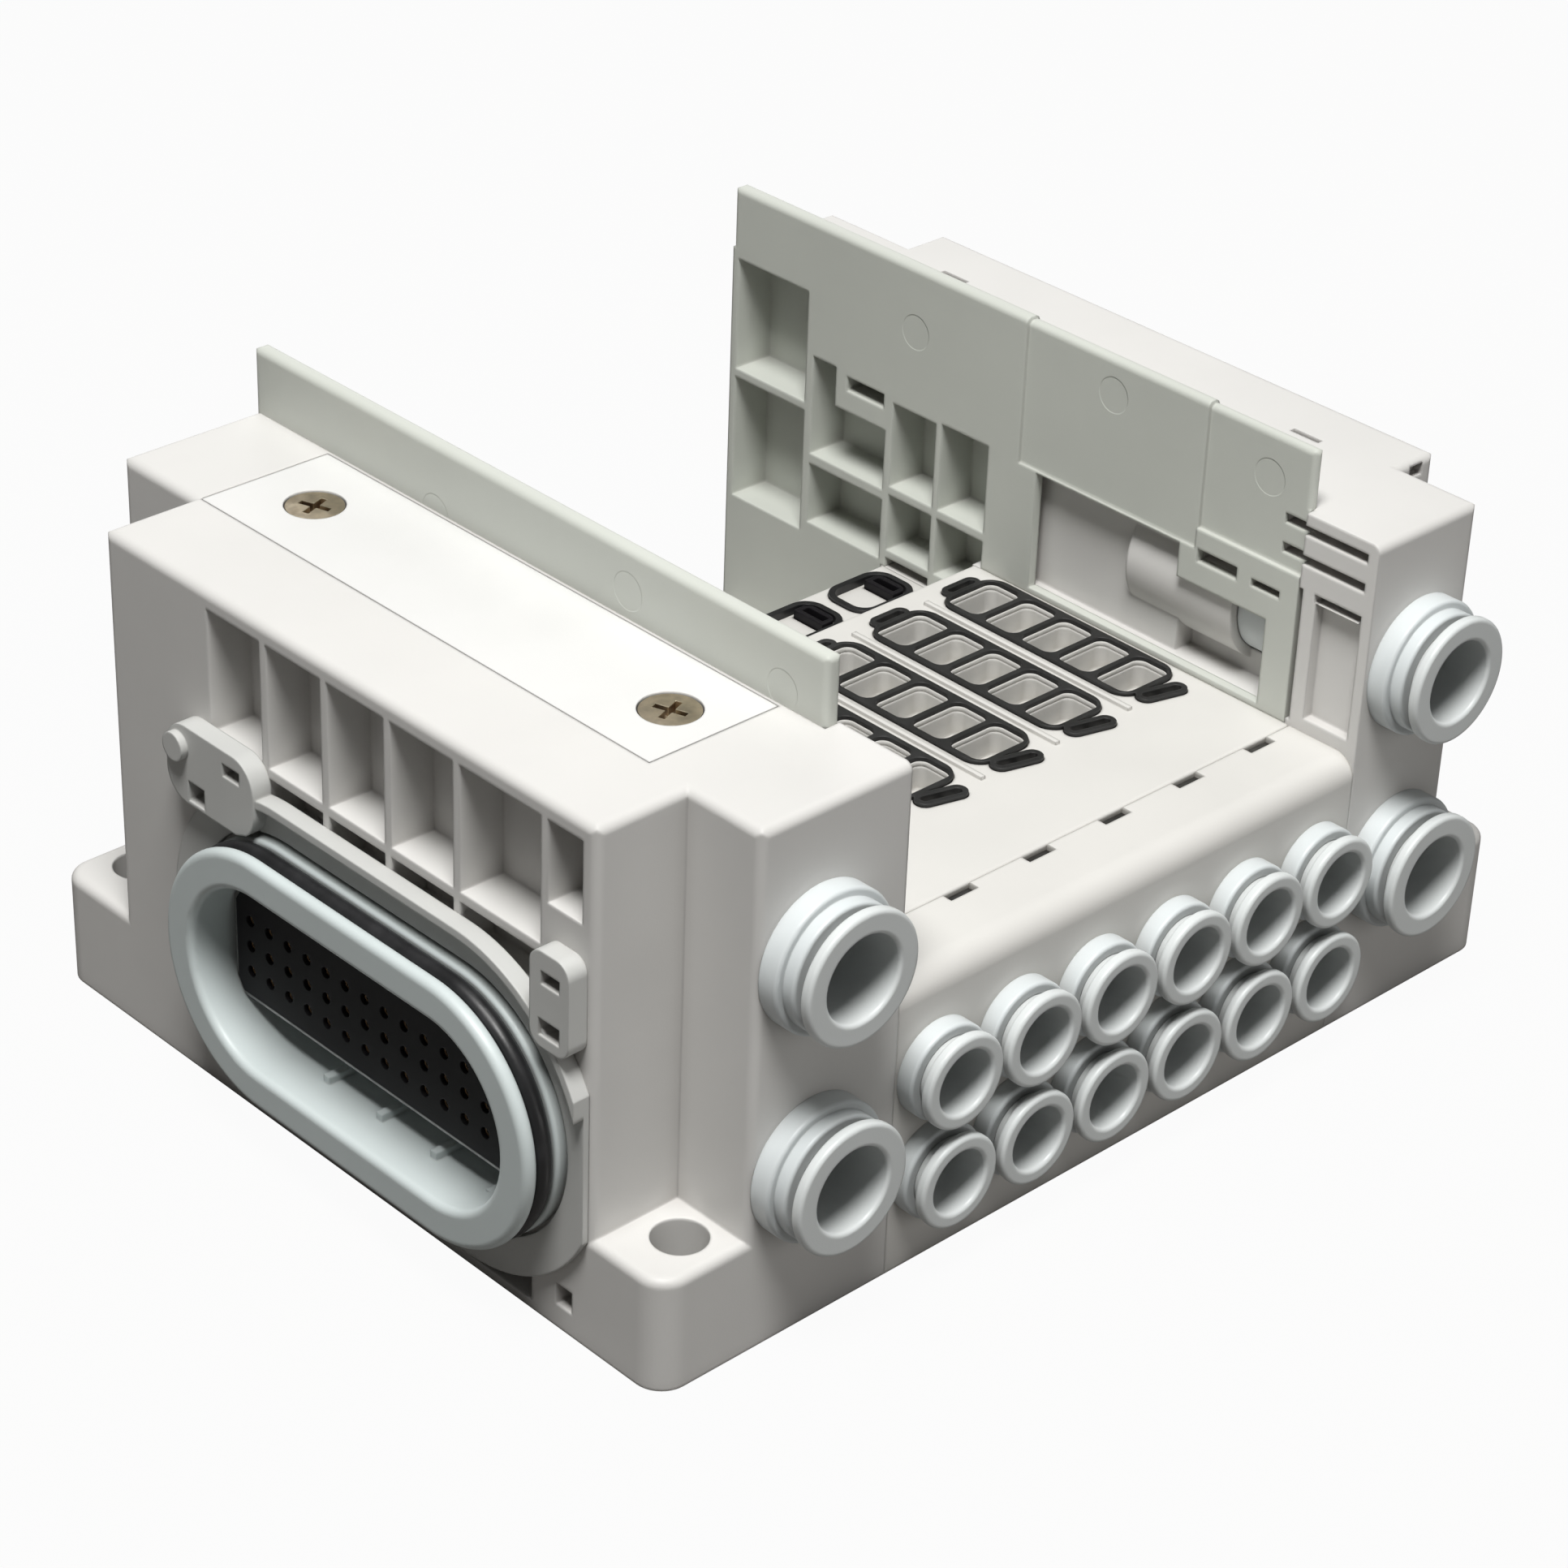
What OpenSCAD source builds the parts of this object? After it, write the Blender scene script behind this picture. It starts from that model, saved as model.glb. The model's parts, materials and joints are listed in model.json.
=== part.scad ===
// Six-station manifold base for small solenoid valves, without its valves.
// X runs along the stations, the port face looks to -Y, and Z is up.
// The origin is the centre of the four foot holes on the mounting plane.

/* [Stations] */
// Distance from one valve station to the next
pitch = 10.5; // [10.5:0.25:13]
// Height of the base at the valve seats
base_h = 32; // [32:0.5:36]
// Distance from the port face to the rear edge of the valve seats
seat_d = 53; // [52.5:0.25:54]
// Height of the ledge that carries the contact sockets behind the seats
ledge_h = 26.4; // [26.2:0.1:27.5]
// Distance from the port face to the rear edge of that ledge
ledge_d = 66.6; // [66.4:0.2:69]
// Height of the low deck behind the ledge
deck_h = 12; // [11.5:0.25:13]
// Depth of the port panel, front to back
panel_t = 8.7; // [8.7:0.1:9.5]
// Radius of the rounding along the panel's top front edge
panel_round = 2.5; // [1:0.25:4]

/* [End blocks] */
// Depth of the whole manifold, without its fittings
overall_d = 91.5; // [90:0.5:98]
// Length of the connector end block
left_l = 28.25; // [28.25:0.25:31]
// Length of the supply end block between the base and its feet
right_l = 14.95; // [14.95:0.05:17]
// Height of both end blocks
block_h = 55.5; // [55:0.5:60]
// Length of a foot, and of the corner notch above it
notch_l = 10.3; // [9:0.1:10.5]
// Depth of a foot, and of the front corner notches
notch_d = 9.3; // [8.5:0.1:10]
// Depth of the rear corner notches
rear_notch_d = 11.4; // [9.5:0.1:12]
// Height of the connector end block's feet
foot_h = 12.3; // [10:0.1:14]
// Height of the supply end block's feet
right_foot_h = 13.8; // [10:0.1:15]
// Plan radius of the outer foot corners
foot_round = 3; // [2.5:0.25:4]
// Radius of the soft outer edges of the end blocks and feet
edge_round = 0.9; // [0.5:0.1:1.2]
// Length of the step on the outer face of the supply end block
step_l = 5.4; // [3:0.1:7]
// Diameter of the four foot holes
foot_hole_d = 5.5; // [4.3:0.1:6]
// Distance of a foot hole from the end of the manifold
foot_hole_x = 6.5; // [5:0.1:6.5]
// Distance of a foot hole from the front or rear face
foot_hole_y = 4.75; // [4.5:0.05:5.5]

/* [Side plates] */
// Height of the tall plates on both sides of the valves
plate_h = 62.5; // [60.5:0.5:68]
// Thickness of the plates where they stand above the blocks
plate_t = 1.8; // [1.5:0.1:2.4]
// Distance of the plates' near ends from the port face
plate_y = 9.2; // [8.9:0.1:10]
// Depth of the ribs and cored pockets in the ribbed side plate
rib_depth = 6; // [4:0.25:6.5]
// Thickness of the skin of the ribbed side plate
skin_t = 1.1; // [0.8:0.1:1.3]

/* [Connector] */
// Width of the oval connector hood
hood_w = 53.5; // [48:0.5:56]
// Height of the oval connector hood
hood_h = 27.7; // [24:0.1:28]
// Distance of the hood's centre from the port face
hood_y = 39; // [38:0.25:42]
// Height of the hood's centre above the mounting plane
hood_z = 20; // [17:0.25:20]
// How far the hood stands out of the end block
hood_out = 5.2; // [5:0.1:8]
// How far the hood reaches into the end block
hood_in = 8; // [6:0.25:9]
// Wall of the hood round its opening
hood_wall = 4; // [3.6:0.1:5]
// Thickness of each of the hood's two flanges
flange_t = 1.6; // [1:0.1:1.7]
// Section diameter of the hood's sealing ring
hood_seal_d = 2; // [1.6:0.1:2]
// Width of the multi-way insulator
insert_w = 42; // [40:0.25:42.5]
// Height of the multi-way insulator
insert_h = 11.4; // [9.5:0.1:12]
// How far the insulator's face stands in front of the end block
insert_out = 0.9; // [0:0.1:0.9]
// Distance between two contacts in a row
contact_pitch = 2.9; // [2.4:0.05:2.95]
// Diameter of a contact
contact_d = 1.1; // [0.8:0.1:1.3]

/* [Small push-in fittings] */
// Outer diameter of the tube that the station ports take
small_tube_d = 6; // [5.6:0.1:6.2]
// Height of the lower row of ports
lower_z = 10.3; // [10.1:0.1:10.6]
// Height of the upper row above the lower row
row_rise = 11.2; // [11.2:0.1:11.8]
// Diameter of a small release ring
small_ring_d = 9.8; // [9:0.1:10]
// Diameter of a small fitting's collar
small_collar_d = 10; // [9.6:0.1:10.2]
// Outer diameter of a small fitting's body
small_body_d = 9; // [8.8:0.1:9.2]

/* [Large push-in fittings] */
// Outer diameter of the tube that the supply and exhaust ports take
large_tube_d = 8; // [7.6:0.1:8.2]
// Height of the supply ports
supply_z = 17.9; // [17.4:0.1:18.4]
// Height of the exhaust ports
exhaust_z = 40.4; // [39.5:0.1:41]
// Distance of the left ports from the left end
left_port_x = 17.7; // [17.6:0.1:19]
// Diameter of a large release ring
large_ring_d = 13.4; // [12:0.1:14]
// Diameter of a large fitting's collar
large_collar_d = 14.4; // [13.4:0.1:14.6]
// Outer diameter of a large fitting's body
large_body_d = 11.8; // [11.4:0.1:12]

/* [Release rings] */
// Travel of a release ring when it is pushed in
ring_travel = 0.9; // [0.5:0.1:1]
// Thickness of a release ring's flange
ring_flange_t = 1.2; // [0.8:0.1:1.4]
// Radial clearance of a release ring in its fitting
ring_gap = 0.08; // [0.04:0.01:0.1]

/* [Valve seats] */
// Length of a five-cell gasket
gasket_l = 27; // [26:0.25:27.5]
// Width of a five-cell gasket
gasket_w = 8.3; // [7.8:0.1:8.6]
// Distance of the gasket's near end from the port face
gasket_y = 22.5; // [22.25:0.25:22.75]
// Width of the gasket's frame and bars
gasket_bar = 0.6; // [0.5:0.05:0.8]
// How far the gasket stands above its seat
gasket_proud = 0.35; // [0.2:0.05:0.5]
// Depth of the groove that holds the gasket
gasket_sink = 0.6; // [0.5:0.05:0.8]

/* [Hidden] */
$fn = 48;
stations = 6;

// Overall places along X
right_x = left_l + stations * pitch;
foot_x = right_x + right_l;
overall_l = foot_x + notch_l;
right_port_shift = 0.2;
right_port_x = right_x + right_l / 2 + right_port_shift;
step_x = foot_x + step_l;
step_inset = 0.6;
step_y0 = notch_d + step_inset;
step_y1 = overall_d - rear_notch_d - step_inset;

// Clearances
eps = 0.01;
root = 2;
slip = 0.1;
assembly_gap = 0.15;
seal_ease = 0.02;

// Heights that follow from the rows of ports
upper_z = lower_z + row_rise;

// Push-in fitting: radii and stations along its own axis, from the port face inwards
function tube_r(d) = d / 2;
tube_gap = 0.05;
tube_stop = 0.9;
ring_bore_gap = 0.35;
ring_wall = 0.45;
large_ring_wall = 0.6;
small_collar_t = 1.9;
large_collar_t = 2.2;
large_step_t = 1.4;
large_step_d = 12.8;
ring_rest_gap = 0.1;
small_stem_l = 4.9;
large_stem_l = 5.3;
collet_gap = 0.08;
collet_l = 1.9;
grip_rim = 0.6;
grip_slot = 0.5;
seal_gap = 0.2;
seal_l = 1.8;
small_seat_l = 7;
large_seat_l = 8.5;
small_body_l = 17.5;
large_body_l = 18;
small_ring_front = small_collar_t + ring_rest_gap + ring_travel + ring_flange_t;
large_ring_front = large_collar_t + large_step_t + ring_rest_gap + ring_travel + ring_flange_t;
clip_groove_depth = 0.5;
clip_t = 0.8;
clip_y = panel_t - 1;
clip_head = 3.2;
head_gap = 0.2;
room_edge = 1;
clip_top = 0.8;
clip_low = 2;
clip_drop = 0.5;
body_seal_t = 0.7;
body_seal_y = 12.5;
body_seal_w = 1.5;

// Air passages in the base, from the five cells of a valve seat
cell_count = 5;
cell_pitch = (gasket_l - gasket_bar) / cell_count;
function cell_y(i) = gasket_y + gasket_bar / 2 + cell_pitch * (i + 0.5);
exhaust_a_y = cell_y(0);
port_a_y = cell_y(1);
supply_y = cell_y(2);
port_b_y = cell_y(3);
exhaust_b_y = cell_y(4);
gallery_drop = 5.2;
gallery_z = base_h - gallery_drop;
exhaust_a_r = 2.2;
exhaust_b_r = 2.7;
supply_r = 2.5;
port_r = 1.9;
way_gap = 0.3;
well_depth = 2.6;

// Tie screws: places in the YZ plane and sizes
tie_places = [[15, 28.6], [30, 5], [66, 6]];
tie_r = 1.6;
tie_head_r = 3.4;
tie_head_l = 3.6;
tie_head_gap = 0.2;
tie_key_r = 1.6;
tie_key_depth = 1.8;
tie_seat_depth = 6;
tie_seat_x = foot_x - tie_seat_depth;
tie_reach = 8;

// Sealing rings between base and end blocks, and the lands of their grooves
face_seal_t = 1.2;
face_groove_in = 0.5;
face_groove_out = 0.6;

// Wiring tunnel under the contact sockets of the ledge
tunnel_wall = 1.1;
tunnel_w = 6.8;
tunnel_y0 = ledge_d - tunnel_wall - tunnel_w;
tunnel_z0 = 14.9;
tunnel_roof = 2.4;
tunnel_h = ledge_h - tunnel_roof - tunnel_z0;
board_t = 1.6;
board_gap = 0.3;

// Rubber frame on the ledge and the contact socket inside it, about a station's centre line
frame_l = 8.8;
frame_d = 6.8;
frame_x0 = -4.7;
frame_edge = 0.7;
frame_y0 = ledge_d - frame_edge - frame_d;
frame_corner = 2.4;
frame_line = 0.7;
socket_gap = 0.3;
socket_w = 2.2;
socket_x0 = frame_x0 + frame_l - frame_line - socket_gap - socket_w;
socket_l = 4.4;
socket_in = 1.2;
socket_y0 = frame_y0 + socket_in;
socket_wall = 0.6;
socket_depth = 6;

// Pilot eyes at both ends of a gasket
seat_shift = 0.4;
pilot_l = 5.8;
pilot_w = 2.2;
pilot_x = -0.3;
pilot_y = gasket_y - 1.35;
pilot_turn = -15;
far_pilot_l = 5;
far_pilot_w = 2;
far_pilot_y = gasket_y + gasket_l + far_pilot_w / 2 - gasket_bar;
cell_corner = 1.2;
gasket_corner = 2.4;

// Top cover of the connector end block
cover_land = 0.4;
cover_rim = 0.3;
cover_x0 = notch_l + cover_land;
cover_x1 = left_l - plate_t - cover_rim;
cover_y0 = 14.7;
cover_y1 = 79.5;
cover_t = 2;
cover_screw_x = (cover_x0 + cover_x1) / 2;
cover_screw_y = [20.6, 71.6];
screw_head_d = 5.8;
screw_head_h = 1.5;
screw_d = 3;
screw_l = 9;
cross_l = 3.4;
cross_w = 0.7;
cross_depth = 1.1;
cross_turn = 20;
cavity_wall = 1.6;
cavity_y0 = 30;
cavity_y1 = tunnel_y0 + tunnel_w + 0.5;
cavity_z0 = 31;

// Cored pockets on the outer face of the connector end block, from the port side
pocket_y0 = 11;
pocket_widths = [4.6, 11, 8.8, 8.2, 8.1, 8];
pocket_rib = 0.9;
pocket_z0 = 40.5;
pocket_z1 = 53.6;
pocket_depth = 5;
narrow_pocket_z0 = 45.2;
slot_row_z0 = 34.6;
slot_row_z1 = 39.5;
slot_row_depth = 4;

function run_sum(widths, n) = n == 0 ? 0 : widths[n - 1] + pocket_rib + run_sum(widths, n - 1);

// Puts the origin at the centre of the foot holes
module place() {
    translate([-overall_l / 2, -overall_d / 2, 0]) children();
}

// Box from its low corner to its high corner
module box(low, high) {
    translate(low) cube(high - low);
}

// Round bar along X at height z
module rod_x(x0, x1, y, z, r) {
    translate([x0, y, z]) rotate([0, 90, 0]) cylinder(h = x1 - x0, r = r);
}

// Round bar along Y at height z
module rod_y(y0, y1, x, z, r) {
    translate([x, y0, z]) rotate([-90, 0, 0]) cylinder(h = y1 - y0, r = r);
}

// Flat oval in the plane of its width and height, with full round ends
module oval(w, h) {
    translate([-(w - h) / 2, 0]) circle(d = h);
    translate([(w - h) / 2, 0]) circle(d = h);
    square([w - h, h], center = true);
}

// Rectangle with round corners, from the origin
module round_rect(w, h, r) {
    translate([r, 0]) square([w - 2 * r, h]);
    translate([0, r]) square([w, h - 2 * r]);
    for (x = [r, w - r], y = [r, h - r])
        translate([x, y]) circle(r = r);
}

// Oval bar along X, centred on the hood's axis
module hood_bar(x0, x1, w, h) {
    translate([x0, hood_y, hood_z]) rotate([90, 0, 90]) linear_extrude(x1 - x0) oval(w, h);
}

// Round ring lying in a plane square to X
module ring_x(x, y, z, mid_r, section_r) {
    translate([x, y, z]) rotate([0, 90, 0])
        rotate_extrude() translate([mid_r, 0]) circle(r = section_r, $fn = 24);
}

// Takes the sharp corner off a flat shape, leaving a round one that opens to the given side
module corner_cut(at, inward, r) {
    translate(at) difference() {
        square(2 * r, center = true);
        translate(inward * r) circle(r = r);
    }
}

// Rectangle from the origin with its chosen corners soft:
// low left, low right, high right and high left
module soft_square(w, h, r, soft) {
    corners = [[0, 0], [w, 0], [w, h], [0, h]];
    inward = [[1, 1], [-1, 1], [-1, -1], [1, -1]];
    difference() {
        square([w, h]);
        for (i = [0 : 3]) if (soft[i]) corner_cut(corners[i], inward[i], r);
    }
}

// Box with soft upright edges and a soft top rim on its chosen sides:
// low X, high X, low Y and high Y
module soft_box(low, high, r, soft) {
    s = high - low;
    translate(low) intersection() {
        linear_extrude(s.z) soft_square(s.x, s.y, r,
            [soft[0] && soft[2], soft[1] && soft[2], soft[1] && soft[3], soft[0] && soft[3]]);
        translate([0, s.y, 0]) rotate([90, 0, 0]) linear_extrude(s.y)
            soft_square(s.x, s.z, r, [false, false, soft[1], soft[0]]);
        rotate([90, 0, 90]) linear_extrude(s.x)
            soft_square(s.y, s.z, r, [false, false, soft[3], soft[2]]);
    }
}

// Sweeps a flat section round an oval in the plane z = 0; the section gives
// the distance from the oval's spine and the height
module oval_sweep(half) {
    for (s = [0, 180]) rotate([0, 0, s]) {
        translate([half, 0, 0]) rotate([0, 0, -90]) rotate_extrude(angle = 180) children();
        translate([-half, 0, 0]) rotate([90, 0, 90]) linear_extrude(2 * half) children();
    }
}

// Turns a flat section of radius and length about +Y
module turned_y() {
    rotate([-90, 0, 0]) rotate_extrude() children();
}

// Plan of a foot, square where it meets the block and round at its free corner
module foot_plan(l, w, r) {
    square([l, w - r]);
    translate([r, 0]) square([l - r, w]);
    translate([r, w - r]) circle(r = r);
}

// Foot of height h on that plan, with a soft rim round its free sides
module round_foot(l, w, h) {
    r = foot_round;
    e = edge_round;
    linear_extrude(h - e) foot_plan(l, w, r);
    linear_extrude(h) translate([e, 0]) foot_plan(l - e, w - e, r - e);
    translate([e, 0, h - e]) rotate([-90, 0, 0]) cylinder(h = w - r, r = e);
    translate([r, w - e, h - e]) rotate([0, 90, 0]) cylinder(h = l - r, r = e);
    translate([r, w - r, h - e]) rotate([0, 0, 90]) rotate_extrude(angle = 90) translate([r - e, 0]) circle(r = e);
}

// The hole in which a fitting's body sits
module fitting_hole(x, z, body_d, body_l) {
    rod_y(-eps, body_l + slip, x, z, body_d / 2 + slip);
}

// Holes for the tie screws
module tie_holes(x0, x1, r) {
    for (p = tie_places) rod_x(x0, x1, p[0], p[1], r);
}

// Grooves for the sealing rings round the three galleries, cut from plane x inwards
module face_grooves(x, depth) {
    for (g = gallery_list()) {
        x0 = min(x, x + depth);
        difference() {
            rod_x(x0, x0 + abs(depth), g[0], g[1], g[2] + face_seal_t + face_groove_out);
            rod_x(x0 - eps, x0 + abs(depth) + eps, g[0], g[1], g[2] + face_groove_in);
        }
    }
}

// Each gallery: distance from the port face, height and radius
function gallery_list() = [
    [exhaust_a_y, gallery_z, exhaust_a_r],
    [supply_y, supply_z, supply_r],
    [exhaust_b_y, gallery_z, exhaust_b_r]
];

// Passages in an end block that lead its two fittings to the three galleries
module end_passages(port_x, face_x) {
    x0 = min(port_x, face_x) - eps;
    x1 = max(port_x, face_x) + eps;
    // Supply: straight back from its fitting, then sideways into the base
    rod_y(large_body_l - eps, supply_y, port_x, supply_z, supply_r - way_gap);
    rod_x(x0, x1, supply_y, supply_z, supply_r);
    // Exhaust: back, down and then sideways into both exhaust galleries
    rod_y(large_body_l - eps, exhaust_a_y, port_x, exhaust_z, exhaust_b_r - way_gap);
    translate([port_x, exhaust_a_y, gallery_z]) cylinder(h = exhaust_z - gallery_z, r = exhaust_b_r);
    rod_y(exhaust_a_y, exhaust_b_y, port_x, gallery_z, exhaust_a_r - way_gap);
    rod_x(x0, x1, exhaust_a_y, gallery_z, exhaust_a_r);
    rod_x(x0, x1, exhaust_b_y, gallery_z, exhaust_b_r);
}

// Left end block: feet, notched housing, cored face, connector and cover openings
module connector_end_block() {
    color("gainsboro") place() difference() {
        union() {
            soft_box([notch_l, 0, 0], [left_l, overall_d, block_h], edge_round, [true, false, true, true]);
            soft_box([0, notch_d, 0], [notch_l + root, overall_d - rear_notch_d, block_h],
                edge_round, [true, false, true, true]);
            translate([0, notch_d + root, 0]) mirror([0, 1, 0])
                round_foot(notch_l + root, notch_d + root, foot_h);
            translate([0, overall_d - rear_notch_d - root, 0])
                round_foot(notch_l + root, rear_notch_d + root, foot_h);
        }
        for (y = [foot_hole_y, overall_d - foot_hole_y])
            translate([foot_hole_x, y, -eps]) cylinder(h = foot_h + 2 * eps, d = foot_hole_d);
        cover_recess();
        left_face_pockets();
        hood_opening();
        for (z = [supply_z, exhaust_z])
            fitting_hole(left_port_x, z, large_body_d, large_body_l);
        end_passages(left_port_x, left_l);
        face_grooves(left_l + eps, -face_seal_t);
        tie_holes(left_l - tie_reach, left_l + eps, tie_r);
        // Rebate for the tall plate
        box([left_l - plate_t, plate_y, base_h], [left_l + eps, overall_d + eps, block_h + eps]);
        plate_pegs(slip);
        wiring_way();
    }
}

// Recess for the top cover, the wiring space under it and its two screw holes
module cover_recess() {
    box([cover_x0, cover_y0, block_h - cover_t], [cover_x1, cover_y1, block_h + eps]);
    box([cover_x0 + cavity_wall, cavity_y0, cavity_z0],
        [cover_x1 - cavity_wall, cavity_y1, block_h]);
    for (y = cover_screw_y)
        translate([cover_screw_x, y, block_h - screw_l - 1]) cylinder(h = screw_l + 1, d = screw_d + 2 * slip);
}

// Pockets and slots in the outer face
module left_face_pockets() {
    count = len(pocket_widths);
    for (i = [0 : count - 1]) {
        y0 = pocket_y0 + run_sum(pocket_widths, i);
        y1 = y0 + pocket_widths[i];
        low = i == 0 ? narrow_pocket_z0 : pocket_z0;
        box([-eps, y0, low], [pocket_depth, y1, pocket_z1]);
        if (i > 0 && i < count - 1)
            box([-eps, y0, slot_row_z0], [slot_row_depth, y1, slot_row_z1]);
    }
    lower_face_recesses();
}

// Low recesses beside and under the hood
low_recess_depth = 2.5;
low_recess_y = pocket_y0 + pocket_rib;
low_triangle = [[0, 0], [3.4, 1.2], [0, 5.4]];
low_triangle_z = 8.6;
low_square = [2.2, 2.4];
low_square_z = 2.6;
low_slot = [12.5, 3.6];
low_slot_y = 17.5;
low_slot_z = 1;
module lower_face_recesses() {
    translate([-eps, low_recess_y, low_triangle_z]) rotate([90, 0, 90]) linear_extrude(low_recess_depth)
        polygon(low_triangle);
    box([-eps, low_recess_y, low_square_z],
        [low_recess_depth, low_recess_y + low_square[0], low_square_z + low_square[1]]);
    box([-eps, low_slot_y, low_slot_z],
        [low_recess_depth, low_slot_y + low_slot[0], low_slot_z + low_slot[1]]);
}

// Opening for the hood's inner end and the insulator behind it
module hood_opening() {
    hood_bar(-eps, hood_in + slip, hood_w - hood_h + 2 * hood_core_r + 2 * slip, 2 * hood_core_r + 2 * slip);
    box([hood_in, hood_y - insert_w / 2 - slip, hood_z - insert_h / 2 - slip],
        [insert_back + wire_room, hood_y + insert_w / 2 + slip, hood_z + insert_h / 2 + slip]);
}

// Way for the wires: from the insulator up to the cover space, and on into the base
module wiring_way() {
    way_y1 = tunnel_y0 + tunnel_w;
    x0 = insert_back - way_l;
    box([x0, tunnel_y0, hood_z], [insert_back + wire_room, way_y1, cavity_z0 + eps]);
    box([x0, tunnel_y0, tunnel_z0], [left_l + eps, way_y1, tunnel_z0 + tunnel_h]);
}

// Flush cover with two counterbored screw holes
module end_cover() {
    color("white") place() difference() {
        box([cover_x0 + assembly_gap, cover_y0 + assembly_gap, block_h - cover_t],
            [cover_x1 - assembly_gap, cover_y1 - assembly_gap, block_h]);
        for (y = cover_screw_y) {
            translate([cover_screw_x, y, block_h - cover_t - eps])
                cylinder(h = cover_t + 2 * eps, d = screw_d + 2 * assembly_gap);
            translate([cover_screw_x, y, block_h - screw_head_h])
                cylinder(h = screw_head_h + eps, d = screw_head_d + 2 * assembly_gap);
        }
    }
}

// Two pan-head screws with a cross recess
module cover_screws() {
    color("darkkhaki") place() for (y = cover_screw_y)
        translate([cover_screw_x, y, block_h]) difference() {
            union() {
                translate([0, 0, -screw_head_h]) cylinder(h = screw_head_h - assembly_gap, d = screw_head_d);
                translate([0, 0, -screw_l]) cylinder(h = screw_l - screw_head_h + eps, d = screw_d);
            }
            for (a = [0, 90]) rotate([0, 0, a + cross_turn])
                translate([-cross_l / 2, -cross_w / 2, -cross_depth]) cube([cross_l, cross_w, cross_depth + eps]);
        }
}

// Pegs that hold the tall plate to the end block
peg_r = 1.5;
peg_l = 4;
peg_z = 44;
peg_near = 14;
peg_far = 8;
plate_round = 0.6;
module plate_pegs(gap) {
    for (y = [plate_y + peg_near, overall_d - peg_far])
        rod_x(left_l - plate_t - peg_l - gap, left_l - plate_t + eps, y, peg_z, peg_r + gap);
}

// Tall thin plate on the station side of the connector end block
module left_side_plate() {
    color("silver") place() {
        soft_box([left_l - plate_t, plate_y, base_h], [left_l, overall_d, plate_h],
            plate_round, [true, true, true, true]);
        plate_pegs(0);
    }
}

// Hood: two soft flanges with the sealing groove between them, and the part in the block
groove_depth = hood_seal_d - 0.05;
insert_back = 10.9;
wire_room = 0.6;
way_l = 3;
hood_floor_t = 1.5;
hood_lip_r = 0.75;
hood_rear_lip_r = 0.4;
hood_half = (hood_w - hood_h) / 2;
hood_core_r = hood_h / 2 - groove_depth;
hood_open_r = hood_h / 2 - hood_wall;
key_count = 4;
key_h = 0.8;
key_w = 0.9;
key_pitch = 8;
module connector_hood() {
    color("lightsteelblue") place() {
        difference() {
            union() {
                on_hood_axis() oval_sweep(hood_half) hood_section();
                hood_bar(hood_in - hood_floor_t, hood_in, hood_w - hood_h + 2 * hood_core_r, 2 * hood_core_r);
            }
            socket_cut(hood_in - hood_floor_t - eps, hood_in + eps);
        }
        // Keying ribs on the lower wall
        for (i = [0 : key_count - 1])
            translate([-insert_out, hood_y + key_pitch * (i - key_count / 2) - key_w, hood_z - hood_open_r - eps])
                cube([hood_in - hood_floor_t + insert_out + eps, key_w, key_h + eps]);
    }
}

// Wall of the hood: distance from its spine and distance out of the end block
module hood_section() {
    translate([hood_open_r, hood_out - flange_t])
        soft_square(hood_wall, flange_t, hood_lip_r, [false, true, true, true]);
    translate([hood_open_r, 0]) soft_square(hood_wall, flange_t, hood_rear_lip_r, [false, false, true, false]);
    translate([hood_open_r, -hood_in]) square([hood_core_r - hood_open_r, hood_in + hood_out - flange_t + eps]);
}

// Turns an upright part so that its height points out of the block, on the hood's axis
module on_hood_axis() {
    translate([0, hood_y, hood_z]) mirror([1, 0, 0]) rotate([90, 0, 90]) children();
}

// Oval sealing ring in the hood's groove
hood_seal_r = hood_seal_d / 2 - seal_ease;
module hood_seal() {
    color("black") place() on_hood_axis() translate([0, 0, hood_out / 2])
        oval_sweep(hood_half) translate([hood_core_r + hood_seal_r, 0]) circle(r = hood_seal_r, $fn = 24);
}

// Outline of the multi-way socket, grown by a margin: a soft rectangle within the oval opening
shell_t = 0.5;
shell_gap = 0.05;
shell_set = 0.25;
socket_corner = 1.2;
module socket_outline(grow) {
    inset = slip + shell_t + shell_gap - grow;
    intersection() {
        translate([-insert_w / 2 - grow, -insert_h / 2 - grow])
            round_rect(insert_w + 2 * grow, insert_h + 2 * grow, socket_corner + grow);
        oval(hood_w - 2 * hood_wall - 2 * inset, hood_h - 2 * hood_wall - 2 * inset);
    }
}

// Bar of that outline from x0 to x1
module socket_bar(x0, x1, grow) {
    translate([x0, hood_y, hood_z]) rotate([90, 0, 90]) linear_extrude(x1 - x0) socket_outline(grow);
}

// Opening that takes the insulator
module socket_cut(x0, x1) {
    socket_bar(x0, x1, shell_gap);
}

// Thin metal frame round the insulator, standing on the hood's floor
module socket_shell() {
    color("darkgray") place() difference() {
        socket_bar(shell_set - insert_out, hood_in - hood_floor_t, shell_gap + shell_t);
        socket_bar(-insert_out - eps, hood_in - hood_floor_t + eps, shell_gap);
    }
}

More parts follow.
